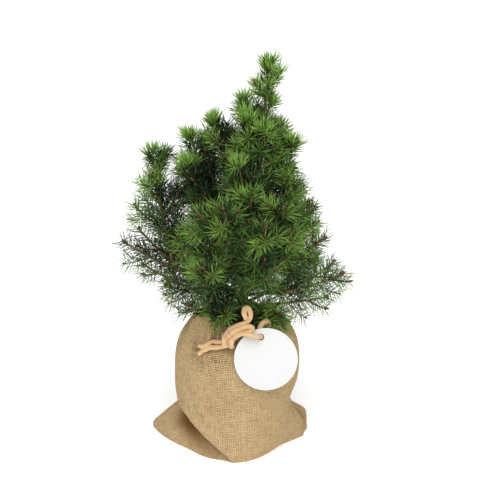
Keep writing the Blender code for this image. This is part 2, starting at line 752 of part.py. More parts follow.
def stems_of_masses(paths):
    """Each mass's stems: that of its limb, or of the trunk's leader, and of the side limbs."""
    leader_way = (LEADER_TIP - TRUNK_TIP).normalized()
    leader = [TRUNK_TIP + leader_way * GAP, TRUNK_TIP.lerp(LEADER_TIP, 0.5), LEADER_TIP]
    masses = {"leader": [Shoot(leader, TRUNK_TIP_RADIUS, TWIG_RADIUS, 1.0)]}
    for limb in LIMBS:
        path = paths[limb.name]
        start = 0.0
        if limb.bare:
            start = length_of(path) * limb.bare + GAP
        elif limb.parent is None:
            start = root_of(path)
        stem = stretch_of(path, start, length_of(path), STEM_STEP)
        shoot = Shoot(stem, radius_at(path, start), TWIG_RADIUS, limb.vigour)
        masses.setdefault(limb.parent or limb.name, []).append(shoot)
    return masses


def vigour_at(vigour, to_tip):
    """A stem's vigour this far from its tip: it fades along the older wood."""
    return vigour * (0.35 + 0.65 * math.exp(-to_tip / 0.035))


def twigs_on(seed, stem, room, mass, vigour):
    """Twigs that branch off a stem on a spiral, where there is room for them."""
    rule = random.Random(seed)
    length = length_of(stem)
    roll = rule.uniform(0, 360)
    spacing = min(TWIG_SPACING, TWIG_SPACING_SHARE * length)
    spacing *= 1 + TWIG_SPARSE * max(0, 0.5 - vigour)
    distance = max(BARE_FOOT, TWIG_FIRST * length)
    twigs = []
    while distance < TWIG_LAST * length:
        point, along = point_at(stem, distance)
        roll += GOLDEN_ANGLE
        across = Matrix.Rotation(math.radians(roll), 3, along) @ along.orthogonal().normalized()
        spread = math.radians(TWIG_SPREAD)
        strong = max(0, vigour_at(vigour, length - distance) - 0.4)
        way = along * math.cos(spread) + across * math.sin(spread) + UP * (TWIG_LIFT + 0.6 * strong)
        reach = TWIG_LENGTH + TWIG_GROWTH * (length - distance)
        reach *= rule.uniform(*TWIG_SCATTER) * (1 - 0.8 * strong)
        while reach > TWIG_SHORTEST:
            end = point + way.normalized() * reach
            twig = bent(point, way, end, way + along * 0.5 + UP * 0.2, 8)
            if room.holds_twig(mass, twig):
                twigs.append(twig)
                break
            reach *= TWIG_SHORTENING
        distance += spacing
    return twigs


def grown(masses, room):
    """Adds the twigs to each mass's stems."""
    for name, shoots in masses.items():
        for index, shoot in enumerate(shoots):
            room.take(name, index, shoot.path, shoot.thick)
    room.settle()
    for name, shoots in masses.items():
        for index, stem in enumerate(list(shoots)):
            for twig in twigs_on(f"{name}/{index}", stem.path, room, name, stem.vigour):
                room.take(name, len(shoots), twig, TWIG_RADIUS)
                shoots.append(Shoot(twig, TWIG_RADIUS, TWIG_RADIUS * TWIG_TAPER, stem.vigour))
            room.settle()


def needled(shoot, mass, index, room, roll):
    """A shoot: a slim three-sided core that needles stand out of, except at its foot."""
    length = length_of(shoot.path)
    path = stretch_of(shoot.path, 0, length, NEEDLE_SPACING)
    steps = len(path) - 1
    alongs = [path[min(i + 1, steps)] - path[max(i - 1, 0)] for i in range(steps + 1)]
    sides = [alongs[0].orthogonal()]
    for along in alongs[1:]:
        sides.append(sides[-1] - sides[-1].project(along))

    def place(azimuth, ring):
        angle = math.radians(azimuth + roll + CORE_TWIST * ring)
        turn = Matrix.Rotation(angle, 3, alongs[ring])
        radius = shoot.thick + (shoot.thin - shoot.thick) * ring / steps
        return path[ring] + turn @ sides[ring].normalized() * radius

    shape = barrel(3, steps, place)
    lean = math.radians(NEEDLE_LEAN)
    for face in list(shape.faces):
        root = face.calc_center_median()
        ring = min(range(steps + 1), key=lambda i: (path[i] - root).length)
        if (path[0] - root).length < BARE_FOOT:
            continue
        along = alongs[ring].normalized()
        way = face.normal * math.sin(lean) + along * math.cos(lean)
        if face.normal.dot(along) > 0.9:
            way = along
        for share in NEEDLE_SHARES:
            tip = root + way * NEEDLE_LENGTH * share
            if room.holds_needle(mass, index, root, tip):
                apex = bmesh.ops.poke(shape, faces=[face])["verts"][0]
                apex.co = tip
                break
    return shape


def mass_of(name, shoots, room, parts, finish):
    """A mass of foliage. Its cores are rolled until no two of its walls meet in one edge."""
    for roll in CORE_ROLLS:
        pieces = [needled(shoot, name, index, room, roll) for index, shoot in enumerate(shoots)]
        mass = fused(name + "_mass", pieces, parts, finish)
        if not touches_itself(mass.data):
            return mass
        bpy.data.objects.remove(mass)
    raise ValueError(f"{name} touches itself")


def boughs(paths, room, parts, finish):
    """The bare stretches of the limbs, from the trunk's bark to their masses."""
    for limb in LIMBS:
        if not limb.bare:
            continue
        path = paths[limb.name]
        start, end = root_of(path), length_of(path) * limb.bare
        line = stretch_of(path, start, end, BOUGH_STEP)
        thick, thin = radius_at(path, start), radius_at(path, end)
        radii = [thick + (thin - thick) * i / (len(line) - 1) for i in range(len(line))]
        tube(limb.name + "_bough", line, radii, parts, finish)
        room.take(limb.name + "_bough", 0, line, thick)


def main():
    """Builds the sack, the lace, the tag and the tree."""
    clear_scene()
    parts = collection("spruce_sapling")
    smooth(add("burlap_sack", sack(), parts, material("burlap", (0.47, 0.33, 0.18), 0.95)))
    add("soil", soil(), parts, material("earth", (0.03, 0.022, 0.016), 0.95))
    smooth(lace(parts, material("suede", (0.70, 0.45, 0.27), 0.8)))
    tag(parts, material("card", (0.85, 0.85, 0.84), 0.6))
    smooth(add("trunk", trunk(), parts, material("bark", (0.16, 0.10, 0.06), 0.9)))

    room = Room()
    for path in lace_paths():
        room.take("lace", 0, path, LACE_RADIUS)
    middle = [trunk_point(TRUNK_FOOT.z), trunk_point(0.23), TRUNK_TIP]
    room.take("trunk", 0, middle, TRUNK_FOOT_RADIUS)
    paths = limb_paths()
    boughs(paths, room, parts, material("young_bark", (0.30, 0.19, 0.10), 0.8))
    masses = stems_of_masses(paths)
    grown(masses, room)
    for index, (name, shoots) in enumerate(masses.items()):
        green = (0.05 + 0.02 * (index % 3), 0.16, 0.03)
        mass_of(name, shoots, room, parts, material(name + "_needles", green, 0.6))


if __name__ == "__main__":
    main()
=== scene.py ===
"""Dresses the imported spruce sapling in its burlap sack, and lights it for a studio picture.

Lengths are in metres and +Z is up. The origin is the middle of the sack's flat underside, the
lace and the tag are on the -Y side, and +X is to the right as they are looked at.
"""

import json
import logging
import math
import random
from collections.abc import Callable, Sequence
from dataclasses import dataclass, field
from enum import Enum, IntEnum
from typing import Any

import bmesh
import bpy
import numpy as np
from mathutils import Matrix, Vector, noise
from mathutils.geometry import interpolate_bezier
from mathutils.kdtree import KDTree

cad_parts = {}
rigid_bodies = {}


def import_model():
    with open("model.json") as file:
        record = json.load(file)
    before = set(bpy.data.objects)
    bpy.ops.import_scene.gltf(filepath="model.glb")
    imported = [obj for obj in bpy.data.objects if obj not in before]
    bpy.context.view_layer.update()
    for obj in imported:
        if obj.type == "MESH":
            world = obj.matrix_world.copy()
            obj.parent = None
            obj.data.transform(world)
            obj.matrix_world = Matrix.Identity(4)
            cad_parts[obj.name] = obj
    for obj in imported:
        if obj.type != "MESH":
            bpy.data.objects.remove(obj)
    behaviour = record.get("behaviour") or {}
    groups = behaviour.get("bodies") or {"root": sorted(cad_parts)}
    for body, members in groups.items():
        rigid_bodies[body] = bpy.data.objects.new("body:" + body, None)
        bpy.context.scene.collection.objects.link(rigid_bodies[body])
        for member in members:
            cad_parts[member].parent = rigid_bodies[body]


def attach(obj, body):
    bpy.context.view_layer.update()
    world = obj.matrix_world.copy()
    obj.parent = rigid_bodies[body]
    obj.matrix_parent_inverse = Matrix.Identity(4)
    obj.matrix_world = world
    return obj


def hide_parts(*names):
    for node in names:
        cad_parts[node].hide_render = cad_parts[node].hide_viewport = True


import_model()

log = logging.getLogger("sapling")

Colour = tuple[float, float, float]
Path = list[Vector]
Number = "Signal | float"

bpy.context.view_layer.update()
BODY = "root"
GAP = 0.0003
MM = 0.001
UP = Vector((0, 0, 1))
GOLDEN_ANGLE = 137.5
# How far a curve keeps to the directions at its ends, as a share of its span
HANDLE = 0.36


# Geometry helpers


def compass(azimuth: float) -> Vector:
    """Returns the level unit vector at a compass angle in degrees."""
    return Vector((math.cos(math.radians(azimuth)), math.sin(math.radians(azimuth)), 0))


def azimuth_of(point: Vector) -> float:
    """Returns the compass angle of a point seen from the Z axis, from 0 to 360."""
    return math.degrees(math.atan2(point.y, point.x)) % 360


def turn_between(azimuth: Any, other: Any) -> Any:
    """Returns the signed angle in degrees from one compass angle to another."""
    return (azimuth - other + 180) % 360 - 180


def eased(share: Any) -> Any:
    """Returns 0 to 1 with a soft start and end."""
    share = np.clip(share, 0.0, 1.0)
    return share * share * (3 - 2 * share)


def bell(offset: Any, width: float) -> Any:
    """Returns a bell curve of height 1 with this half width."""
    return np.exp(-((offset / width) ** 2))


def vigour_at(vigour: float, to_tip: Any) -> Any:
    """Returns a stem's vigour this far from its tip: it fades along the older wood."""
    return vigour * (0.35 + 0.65 * np.exp(-to_tip / 0.035))


def sideways(along: Vector, roll: float, spread: float) -> Vector:
    """Returns the unit vector at an angle to another, turned round it by an angle."""
    across = Matrix.Rotation(math.radians(roll), 3, along) @ along.orthogonal().normalized()
    return along * math.cos(math.radians(spread)) + across * math.sin(math.radians(spread))


def unit(rows: np.ndarray) -> np.ndarray:
    """Returns vectors, as rows, at unit length."""
    return rows / np.linalg.norm(rows, axis=1, keepdims=True)


def length_of(path: Path) -> float:
    """Returns the length of a polyline."""
    return sum((b - a).length for a, b in zip(path, path[1:]))


def point_at(path: Path, distance: float) -> tuple[Vector, Vector]:
    """Finds the point this far along a polyline.

    Args:
        path: The polyline's points.
        distance: How far along it, in metres.

    Returns:
        The point and the unit direction there.
    """
    for start, end in zip(path, path[1:]):
        step = (end - start).length
        if distance <= step:
            break
        distance -= step
    along = (end - start).normalized()
    return start + along * min(distance, step), along


def stretch_of(path: Path, start: float, end: float, spacing: float) -> Path:
    """Cuts a stretch out of a polyline.

    Args:
        path: The polyline's points.
        start: Where the stretch begins, in metres along the polyline.
        end: Where it ends.
        spacing: The wanted distance between its points.

    Returns:
        The stretch, in equal steps of about this spacing.
    """
    steps = max(2, round((end - start) / spacing))
    return [point_at(path, start + (end - start) * i / steps)[0] for i in range(steps + 1)]


def bent(start: Vector, start_way: Vector, end: Vector, end_way: Vector, count: int = 24) -> Path:
    """Draws a smooth curve with a given direction at each end.

    Args:
        start: The first point.
        start_way: The direction in which the curve leaves it.
        end: The last point.
        end_way: The direction in which the curve reaches it.
        count: The number of points.

    Returns:
        The curve's points.
    """
    pull = (end - start).length * HANDLE
    first = start + start_way.normalized() * pull
    last = end - end_way.normalized() * pull
    return interpolate_bezier(start, first, last, end, count)


def through(route: Sequence[Sequence[float]], count: int = 4) -> Path:
    """Draws a smooth curve through all the points of a route.

    Args:
        route: The points, in order.
        count: The number of points in each stretch between two of them.

    Returns:
        The curve's points.
    """
    stops = [Vector(point) for point in route]
    last = len(stops) - 1
    ways = [stops[min(i + 1, last)] - stops[max(i - 1, 0)] for i in range(last + 1)]
    path = [stops[0]]
    for i in range(last):
        path += bent(stops[i], ways[i], stops[i + 1], ways[i + 1], count)[1:]
    return path


def as_object(
    name: str, shape: bmesh.types.BMesh | bpy.types.Mesh, sharp: float | None = None
) -> bpy.types.Object:
    """Links a mesh to the scene as a smooth object at the origin.

    Args:
        name: The object's name.
        shape: A bmesh, which is freed, or a mesh.
        sharp: The angle in degrees from which its edges stay sharp.

    Returns:
        The object.
    """
    if isinstance(shape, bmesh.types.BMesh):
        mesh = bpy.data.meshes.new(name)
        shape.to_mesh(mesh)
        shape.free()
        shape = mesh
    shape.shade_smooth()
    if sharp is not None:
        shape.set_sharp_from_angle(angle=math.radians(sharp))
    made = bpy.data.objects.new(name, shape)
    bpy.context.scene.collection.objects.link(made)
    return made


def dressed(piece: bpy.types.Object, finish: bpy.types.Material) -> bpy.types.Object:
    """Gives a piece its finish and lets it ride on the part.

    Args:
        piece: The piece, in its place.
        finish: Its material.

    Returns:
        The same piece.
    """
    piece.data.materials.clear()
    piece.data.materials.append(finish)
    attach(piece, BODY)
    log.info("%s: %d faces", piece.name, len(piece.data.polygons))
    return piece


def column(sides: int, low: float, high: float, cuts: int) -> bmesh.types.BMesh:
    """Makes a closed column or cone, a unit tall, round the origin.

    Args:
        sides: The number of its sides.
        low: Its radius at the foot.
        high: Its radius at the top.
        cuts: How many rings of vertices lie between the foot and the top.

    Returns:
        The column.
    """
    shape = bmesh.new()
    bmesh.ops.create_cone(shape, cap_ends=True, segments=sides, radius1=low, radius2=high, depth=1)
    bmesh.ops.remove_doubles(shape, verts=shape.verts, dist=1e-6)
    if cuts:
        upright = [e for e in shape.edges if abs(e.verts[0].co.z - e.verts[1].co.z) > 0.5]
        bmesh.ops.subdivide_edges(shape, edges=upright, cuts=cuts)
    return shape


def barrel(sides: int, rings: int, place: Callable[[int, int], Sequence[float]]) -> bmesh.types.BMesh:
    """Makes a closed barrel out of a cylinder.

    Args:
        sides: The number of its sides.
        rings: The number of its rings of faces.
        place: Gives the position of a vertex from its side and its ring.

    Returns:
        The barrel, with int layers "side" and "ring" on its vertices.
    """
    shape = column(sides, 1, 1, rings - 1)
    side_layer = shape.verts.layers.int.new("side")
    ring_layer = shape.verts.layers.int.new("ring")
    for vertex in shape.verts:
        vertex[side_layer] = round(azimuth_of(vertex.co) / 360 * sides) % sides
        vertex[ring_layer] = round((vertex.co.z + 0.5) * rings)
        vertex.co = place(vertex[side_layer], vertex[ring_layer])
    bmesh.ops.recalc_face_normals(shape, faces=shape.faces)
    return shape


def curve_of(
    name: str, runs: Sequence[tuple[Any, Sequence[float]]], settings: dict[str, Any], closed: bool = False
) -> bpy.types.Curve:
    """Makes a curve of straight stretches.

    Args:
        name: The curve's name.
        runs: For each of its splines the points, and the radius at each point.
        settings: The curve's properties.
        closed: Whether each spline's end meets its start.

    Returns:
        The curve.
    """
    curve = bpy.data.curves.new(name, "CURVE")
    for key, value in settings.items():
        setattr(curve, key, value)
    for points, radii in runs:
        spline = curve.splines.new("POLY")
        spline.points.add(len(points) - 1)
        spline.use_cyclic_u = closed
        for place, point, radius in zip(spline.points, points, radii):
            place.co = (*point, 1)
            place.radius = radius
    return curve


def tubes(name: str, runs: Sequence[tuple[Path, Sequence[float]]], roundness: int) -> bpy.types.Mesh:
    """Sweeps round tubes along paths and joins them in one mesh.

    Args:
        name: The mesh's name.
        runs: For each tube its path and its radius at each point.
        roundness: The curve's bevel resolution.

    Returns:
        The mesh, with its end caps welded on.
    """
    settings = {"dimensions": "3D", "bevel_depth": 1, "bevel_resolution": roundness, "use_fill_caps": True}
    return mesh_of_curve(curve_of(name, runs, settings))


def mesh_of_curve(curve: bpy.types.Curve) -> bpy.types.Mesh:
    """Turns a curve into a closed mesh.

    Args:
        curve: The curve, which is removed.

    Returns:
        The mesh, with doubles merged and normals outwards.
    """
    carrier = bpy.data.objects.new(curve.name, curve)
    bpy.context.scene.collection.objects.link(carrier)
    graph = bpy.context.evaluated_depsgraph_get()
    mesh = bpy.data.meshes.new_from_object(carrier.evaluated_get(graph))
    bpy.data.objects.remove(carrier)
    bpy.data.curves.remove(curve)
    shape = bmesh.new()
    shape.from_mesh(mesh)
    bmesh.ops.remove_doubles(shape, verts=shape.verts, dist=1e-6)
    bmesh.ops.recalc_face_normals(shape, faces=shape.faces)
    shape.to_mesh(mesh)
    shape.free()
    return mesh


def roughened(mesh: bpy.types.Mesh, scale: float, depth: float, seed: float = 0) -> None:
    """Moves a mesh's vertices in and out along their normals by a smooth noise.

    Args:
        mesh: The mesh to change.
        scale: How many bumps the noise has in a metre.
        depth: How far it moves a vertex at most.
        seed: Where in the noise the piece lies.
    """
    shift = Vector((seed, seed * 0.7, -seed))
    for vertex in mesh.vertices:
        vertex.co += vertex.normal * noise.noise(vertex.co * scale + shift) * depth


def scattered(
    name: str,
    template: bmesh.types.BMesh,
    frames: np.ndarray,
    sizes: np.ndarray,
    places: np.ndarray,
    curl: np.ndarray | None = None,
) -> bpy.types.Mesh:
    """Joins many copies of a small shape in one mesh.

    Args:
        name: The mesh's name.
        template: The small shape along +Z, which is freed.
        frames: For each copy the directions of the shape's X, Y and Z axes, as rows.
        sizes: For each copy its size along each of its axes.
        places: For each copy its place.
        curl: For each copy how far its tip bends along its X axis, as a share of its length.

    Returns:
        The joined mesh.
    """
    bmesh.ops.triangulate(template, faces=template.faces)
    template.verts.index_update()
    corners = np.array([vertex.co for vertex in template.verts])
    faces = np.array([[vertex.index for vertex in face.verts] for face in template.faces])
    template.free()
    copies = len(places)
    points = np.einsum("vk,nk,nkj->nvj", corners, sizes, frames) + places[:, None, :]
    if curl is not None:
        points += (curl[:, None] * sizes[:, 2:])[:, None] * corners[None, :, 2:] ** 2 * frames[:, None, 0]
    indices = faces[None] + (np.arange(copies) * len(corners))[:, None, None]
    mesh = bpy.data.meshes.new(name)
    mesh.vertices.add(copies * len(corners))
    mesh.vertices.foreach_set("co", points.astype(np.float32).ravel())
    mesh.loops.add(indices.size)
    mesh.loops.foreach_set("vertex_index", indices.astype(np.int32).ravel())
    mesh.polygons.add(copies * len(faces))
    mesh.polygons.foreach_set("loop_start", np.arange(0, indices.size, 3, dtype=np.int32))
    mesh.update(calc_edges=True)
    return mesh


# Shader tools


class Signal:
    """A number that varies over a surface, worked out as in Python."""

    def __init__(self, sheet: "Sheet", socket: bpy.types.NodeSocket) -> None:
        """Wraps a socket of a sheet's node tree."""
        self.sheet = sheet
        self.socket = socket

    def maths(self, operation: str, *values: Number) -> "Signal":
        """Adds a Math node.

        Args:
            operation: The node's operation.
            values: Its inputs in order.

        Returns:
            The node's result.
        """
        node = self.sheet.node("ShaderNodeMath", {"operation": operation}, dict(enumerate(values)))
        return Signal(self.sheet, node.outputs[0])

    def __add__(self, other: Number) -> "Signal":
        """Returns the sum."""
        return self.maths("ADD", self, other)

    def __sub__(self, other: Number) -> "Signal":
        """Returns the difference."""
        return self.maths("SUBTRACT", self, other)

    def __rsub__(self, other: Number) -> "Signal":
        """Returns the difference the other way round."""
        return self.maths("SUBTRACT", other, self)

    def __mul__(self, other: Number) -> "Signal":
        """Returns the product."""
        return self.maths("MULTIPLY", self, other)

    def __truediv__(self, other: Number) -> "Signal":
        """Returns the quotient."""
        return self.maths("DIVIDE", self, other)

    def __pow__(self, other: Number) -> "Signal":
        """Returns the power."""
        return self.maths("POWER", self, other)

    def __gt__(self, other: Number) -> "Signal":
        """Returns 1 where this is greater, and else 0."""
        return self.maths("GREATER_THAN", self, other)

    __radd__ = __add__
    __rmul__ = __mul__

    def sine(self) -> "Signal":
        """Returns the sine."""
        return self.maths("SINE", self)

    def size(self) -> "Signal":
        """Returns the absolute value."""
        return self.maths("ABSOLUTE", self)

    def floor(self) -> "Signal":
        """Returns the whole number below."""
        return self.maths("FLOOR", self)

    def most(self, other: Number) -> "Signal":
        """Returns the larger of two."""
        return self.maths("MAXIMUM", self, other)

    def between(self, low: float, high: float) -> "Signal":
        """Makes a soft step.

        Args:
            low: Where it starts, at 0.
            high: Where it ends, at 1.

        Returns:
            The step.
        """
        settings = {"interpolation_type": "SMOOTHSTEP"}
        node = self.sheet.node("ShaderNodeMapRange", settings, {0: self, 1: low, 2: high})
        return Signal(self.sheet, node.outputs[0])


class Sheet:
    """The node tree of one material."""

    def __init__(self, name: str, **constants: Any) -> None:
        """Makes a material whose Principled BSDF has these constants.

        Args:
            name: The material's name.
            constants: Socket names in lower case with underscores, and their values.
        """
        self.material = bpy.data.materials.new(name)
        self.material.use_nodes = True
        self.tree = self.material.node_tree
        self.shader = self.tree.nodes["Principled BSDF"]
        for key, value in constants.items():
            words = key.replace("_", " ").title().replace("Ior", "IOR")
            self.shader.inputs[words].default_value = value

    def node(self, kind: str, settings: dict[str, Any], sockets: dict[Any, Any]) -> bpy.types.Node:
        """Adds a node.

        Args:
            kind: The node's type.
            settings: Its properties.
            sockets: The value of, or the link to, each of its sockets.

        Returns:
            The node.
        """
        made = self.tree.nodes.new(kind)
        for key, value in settings.items():
            setattr(made, key, value)
        for key, value in sockets.items():
            self.feed(made.inputs[key], value)
        return made

    def feed(self, socket: bpy.types.NodeSocket, value: Any) -> None:
        """Sets a socket, or links it where the value comes from a node.

        Args:
            socket: The socket.
            value: What feeds it: a number, a colour, a signal or another socket.
        """
        if isinstance(value, Signal):
            value = value.socket
        if isinstance(value, bpy.types.NodeSocket):
            self.tree.links.new(value, socket)
        elif isinstance(value, tuple) and socket.type == "RGBA":
            socket.default_value = (*value, 1)
        else:
            socket.default_value = value

    def place(self) -> bpy.types.NodeSocket:
        """Returns the Object coordinates."""
        return self.node("ShaderNodeTexCoord", {}, {}).outputs["Object"]

    def attribute(self, name: str) -> Signal:
        """Returns a mesh attribute that holds one number."""
        node = self.node("ShaderNodeAttribute", {"attribute_name": name}, {})
        return Signal(self, node.outputs["Fac"])

    def grain(
        self, at: bpy.types.NodeSocket, scale: float, detail: float = 4, rough: float = 0.6
    ) -> Signal:
        """Adds a noise.

        Args:
            at: The coordinates that it reads.
            scale: How many of its bumps lie in a unit of them.
            detail: How many finer layers it has.
            rough: How strong they are.

        Returns:
            The noise, from 0 to 1.
        """
        sockets = {"Vector": at, "Scale": scale, "Detail": detail, "Roughness": rough}
        return Signal(self, self.node("ShaderNodeTexNoise", {}, sockets).outputs[0])

    def stretched(self, at: bpy.types.NodeSocket, scale: Colour) -> bpy.types.NodeSocket:
        """Returns coordinates that are scaled along each axis."""
        return self.node("ShaderNodeMapping", {}, {"Vector": at, "Scale": scale}).outputs[0]

    def mixed(self, amount: Signal, first: Any, second: Any, way: str = "MIX") -> bpy.types.NodeSocket:
        """Mixes two colours.

        Args:
            amount: The share of the second.
            first: The first colour.
            second: The second colour.
            way: The node's blend type.

        Returns:
            The mixed colour.
        """
        settings = {"data_type": "RGBA", "blend_type": way}
        return self.node("ShaderNodeMix", settings, {0: amount, 6: first, 7: second}).outputs[2]

    def relief(self, height: Signal, distance: float, strength: float = 1.0) -> None:
        """Lets a height shape the surface's normal.

        Args:
            height: The height.
            distance: How high its bumps are, in metres.
            strength: How strong they look.
        """
        sockets = {"Strength": strength, "Distance": distance, "Height": height}
        node = self.node("ShaderNodeBump", {}, sockets)
        self.tree.links.new(node.outputs[0], self.shader.inputs["Normal"])

    def finish(self, **inputs: Any) -> bpy.types.Material:
        """Links what varies over the surface, and returns the material.

        Args:
            inputs: Socket names in lower case with underscores, and what feeds them.

        Returns:
            The finished material.
        """
        for key, value in inputs.items():
            self.feed(self.shader.inputs[key.replace("_", " ").title()], value)
        return self.material


# Finishes


@dataclass(frozen=True)
class Burlap:
    """Loosely woven jute, on a UV map in millimetres, with wider gaps where it is strained.

    It is painted browner in the pockets of its folds and darker in the dips of its weave, as painted
    shade.
    """

    thread: Colour = (0.66, 0.485, 0.265)
    shade: Colour = (0.37, 0.24, 0.108)
    hole: Colour = (0.115, 0.060, 0.022)
    # The painted shade of the folds' pockets
    pocket: Colour = (0.165, 0.072, 0.018)
    pitch: float = 1.75

    def thread_tone(self, sheet: Sheet, across: Signal, along: Signal) -> Signal:
        """Gives each thread a tone of its own, which drifts along it as the yarn's thickness does.

        Args:
            sheet: The material's node tree.
            across: The place across the threads, a half turn for each.
            along: The place along them.

        Returns:
            The tone, from about 0 to 1.
        """
        number = (across / math.pi).floor()
        apart = sheet.node("ShaderNodeCombineXYZ", {}, {0: number * 7.31, 1: along * 0.055}).outputs[0]
        return (sheet.grain(apart, 1, 2) - 0.5) * 2.2 + 0.5

    def material(self) -> bpy.types.Material:
        """Makes the material.

        Returns:
            The material.
        """
        sheet = Sheet("burlap", roughness=0.92, specular_ior_level=0.2)
        uv = sheet.node("ShaderNodeUVMap", {"uv_map": "weave"}, {}).outputs[0]
        wander = sheet.node("ShaderNodeTexNoise", {}, {"Vector": uv, "Scale": 0.16, "Detail": 2.0})
        apart = sheet.node("ShaderNodeSeparateXYZ", {}, {0: uv})
        drift = sheet.node("ShaderNodeSeparateXYZ", {}, {0: wander.outputs["Color"]})
        turns = math.pi / self.pitch
        across = (Signal(sheet, apart.outputs[0]) + Signal(sheet, drift.outputs[0]) * 2.2) * turns
        up = (Signal(sheet, apart.outputs[1]) + Signal(sheet, drift.outputs[1]) * 2.2) * turns
        warp, weft = across.sine(), up.sine()
        warp_on_top = (warp * weft) > 0
        warp_size, weft_size = warp.size(), weft.size()
        warp_height = (warp_size ** 0.55) * (weft_size * 0.45 + 0.55)
        weft_height = (weft_size ** 0.55) * (warp_size * 0.45 + 0.55)
        height = warp_on_top * warp_height + (1 - warp_on_top) * weft_height
        strain = sheet.attribute("strain")
        uneven = sheet.grain(uv, 0.5, 3)
        warp_tone, weft_tone = self.thread_tone(sheet, across, up), self.thread_tone(sheet, up, across)
        width = strain * 0.42 + uneven * 0.26 + 0.19
        warp_edge = warp_size - width * (1.35 - warp_tone * 0.7)
        weft_edge = weft_size - width * (1.35 - weft_tone * 0.7)
        open_weave = warp_edge.most(weft_edge).between(-0.06, 0.16)
        fibres = sheet.grain(sheet.stretched(uv, (1.4, 9, 1)), 0.9, 5, 0.7)
        fibres_up = sheet.grain(sheet.stretched(uv, (9, 1.4, 1)), 0.9, 5, 0.7)
        fibre = warp_on_top * fibres_up + (1 - warp_on_top) * fibres
        patches = sheet.grain(sheet.place(), 38, 3)
        own = warp_on_top * warp_tone + (1 - warp_on_top) * weft_tone
        # The height term paints the threads darker down in the weave, a painted shade; fibres, each
        # thread's own tone and the patches are the cloth's own
        tone = (fibre * 0.4 + height * 0.55 + own * 0.6 + patches * 0.3 - 0.5).between(0.0, 1.0)
        cloth = sheet.mixed(tone, self.shade, self.thread)
        # Painted shade: the cloth turns a darker brown in the pockets of the folds
        cloth = sheet.mixed(sheet.attribute("pocket"), cloth, self.pocket)
        colour = sheet.mixed(open_weave, self.hole, cloth)
        sheet.relief(height * open_weave + fibre * 0.18, 0.0006)
        return sheet.finish(base_color=colour)


@dataclass(frozen=True)
class Suede:
    """Soft napped leather lace."""

    nap: Colour = (0.76, 0.515, 0.27)
    dull: Colour = (0.55, 0.335, 0.155)

    def material(self) -> bpy.types.Material:
        """Makes the material.

        Returns:
            The material.
        """
        sheet = Sheet("suede", roughness=0.85, sheen_weight=0.35, sheen_roughness=0.5)
        at = sheet.place()
        worn = sheet.grain(at, 160, 4)
        fuzz = sheet.grain(at, 1500, 3, 0.7)
        tone = (worn * 0.8 + fuzz * 0.5 - 0.2).between(0.0, 0.9)
        sheet.relief(fuzz + worn * 0.8, 0.0003, 0.8)
        return sheet.finish(base_color=sheet.mixed(tone, self.dull, self.nap))


@dataclass(frozen=True)
class Card:
    """Uncoated white board."""

    white: Colour = (0.72, 0.72, 0.72)
    fleck: Colour = (0.69, 0.69, 0.685)

    def material(self) -> bpy.types.Material:
        """Makes the material.

        Returns:
            The material.
        """
        sheet = Sheet("card", roughness=0.62, specular_ior_level=0.3)
        at = sheet.place()
        pulp = sheet.grain(at, 900, 4, 0.65)
        cloud = sheet.grain(at, 60, 2)
        tone = (pulp * 0.6 + cloud * 0.4).between(0.3, 0.7)
        sheet.relief(pulp, 0.00006, 0.6)
        return sheet.finish(base_color=sheet.mixed(tone, self.fleck, self.white))


@dataclass(frozen=True)
class Bark:
    """Scaly or young bark, darker in its cracks."""

    name: str
    ridge: Colour
    crack: Colour
    scale: float
    roughness: float = 0.85

    def material(self) -> bpy.types.Material:
        """Makes the material.

        Returns:
            The material.
        """
        sheet = Sheet(self.name, roughness=self.roughness, specular_ior_level=0.25)
        at = sheet.place()
        plates = sheet.node(
            "ShaderNodeTexVoronoi",
            {"feature": "DISTANCE_TO_EDGE"},
            {"Vector": sheet.stretched(at, (1, 1, 0.45)), "Scale": self.scale},
        )
        edge = Signal(sheet, plates.outputs[0]).between(0.02, 0.22)
        mottle = sheet.grain(at, self.scale * 1.7, 4)
        tone = (edge * 0.65 + mottle * 0.75 - 0.25).between(0.0, 1.0)
        sheet.relief(edge + mottle * 0.6, 0.0004, 0.8)
        return sheet.finish(base_color=sheet.mixed(tone, self.crack, self.ridge))


@dataclass(frozen=True)
class Earth:
    """Dark, damp peat with paler crumbs of bark."""

    damp: Colour = (0.012, 0.009, 0.006)
    crumb: Colour = (0.085, 0.05, 0.028)

    def material(self) -> bpy.types.Material:
        """Makes the material.

        Returns:
            The material.
        """
        sheet = Sheet("earth", roughness=0.9, specular_ior_level=0.3)
        at = sheet.place()
        crumbs = sheet.grain(at, 420, 5, 0.75)
        patches = sheet.grain(at, 90, 3)
        tone = (crumbs * 0.8 + patches * 0.4).between(0.45, 0.95)
        sheet.relief(crumbs, 0.0006)
        return sheet.finish(base_color=sheet.mixed(tone, self.damp, self.crumb))


class Green(Enum):
    """The greens of the needles, from this year's tips to the shaded ones, each with its dull shade."""

    SPRING = ((0.290, 0.480, 0.085), (0.175, 0.335, 0.055))
    FRESH = ((0.150, 0.290, 0.052), (0.090, 0.200, 0.036))
    LEAF = ((0.088, 0.178, 0.040), (0.052, 0.115, 0.027))
    DEEP = ((0.045, 0.102, 0.025), (0.028, 0.066, 0.018))
    SHADED = ((0.018, 0.040, 0.012), (0.011, 0.025, 0.009))
    OLIVE = ((0.130, 0.155, 0.045), (0.070, 0.090, 0.030))


@dataclass(frozen=True)
class Needle:
    """Waxy needles of one green, a little mottled."""

    green: Green

    def material(self) -> bpy.types.Material:
        """Makes the material.

        Returns:
            The material.
        """
        bright, dull = self.green.value
        sheet = Sheet(
            f"needle_{self.green.name.lower()}",
            roughness=0.55,
            specular_ior_level=0.22,
        )
        at = sheet.place()
        mottle = sheet.grain(at, 260, 2)
        bloom = sheet.grain(at, 2400, 2)
        tone = (mottle * 0.9 + bloom * 0.3 - 0.1).between(0.2, 0.8)
        sheet.relief(bloom, 0.0001, 0.4)
        return sheet.finish(base_color=sheet.mixed(tone, dull, bright))


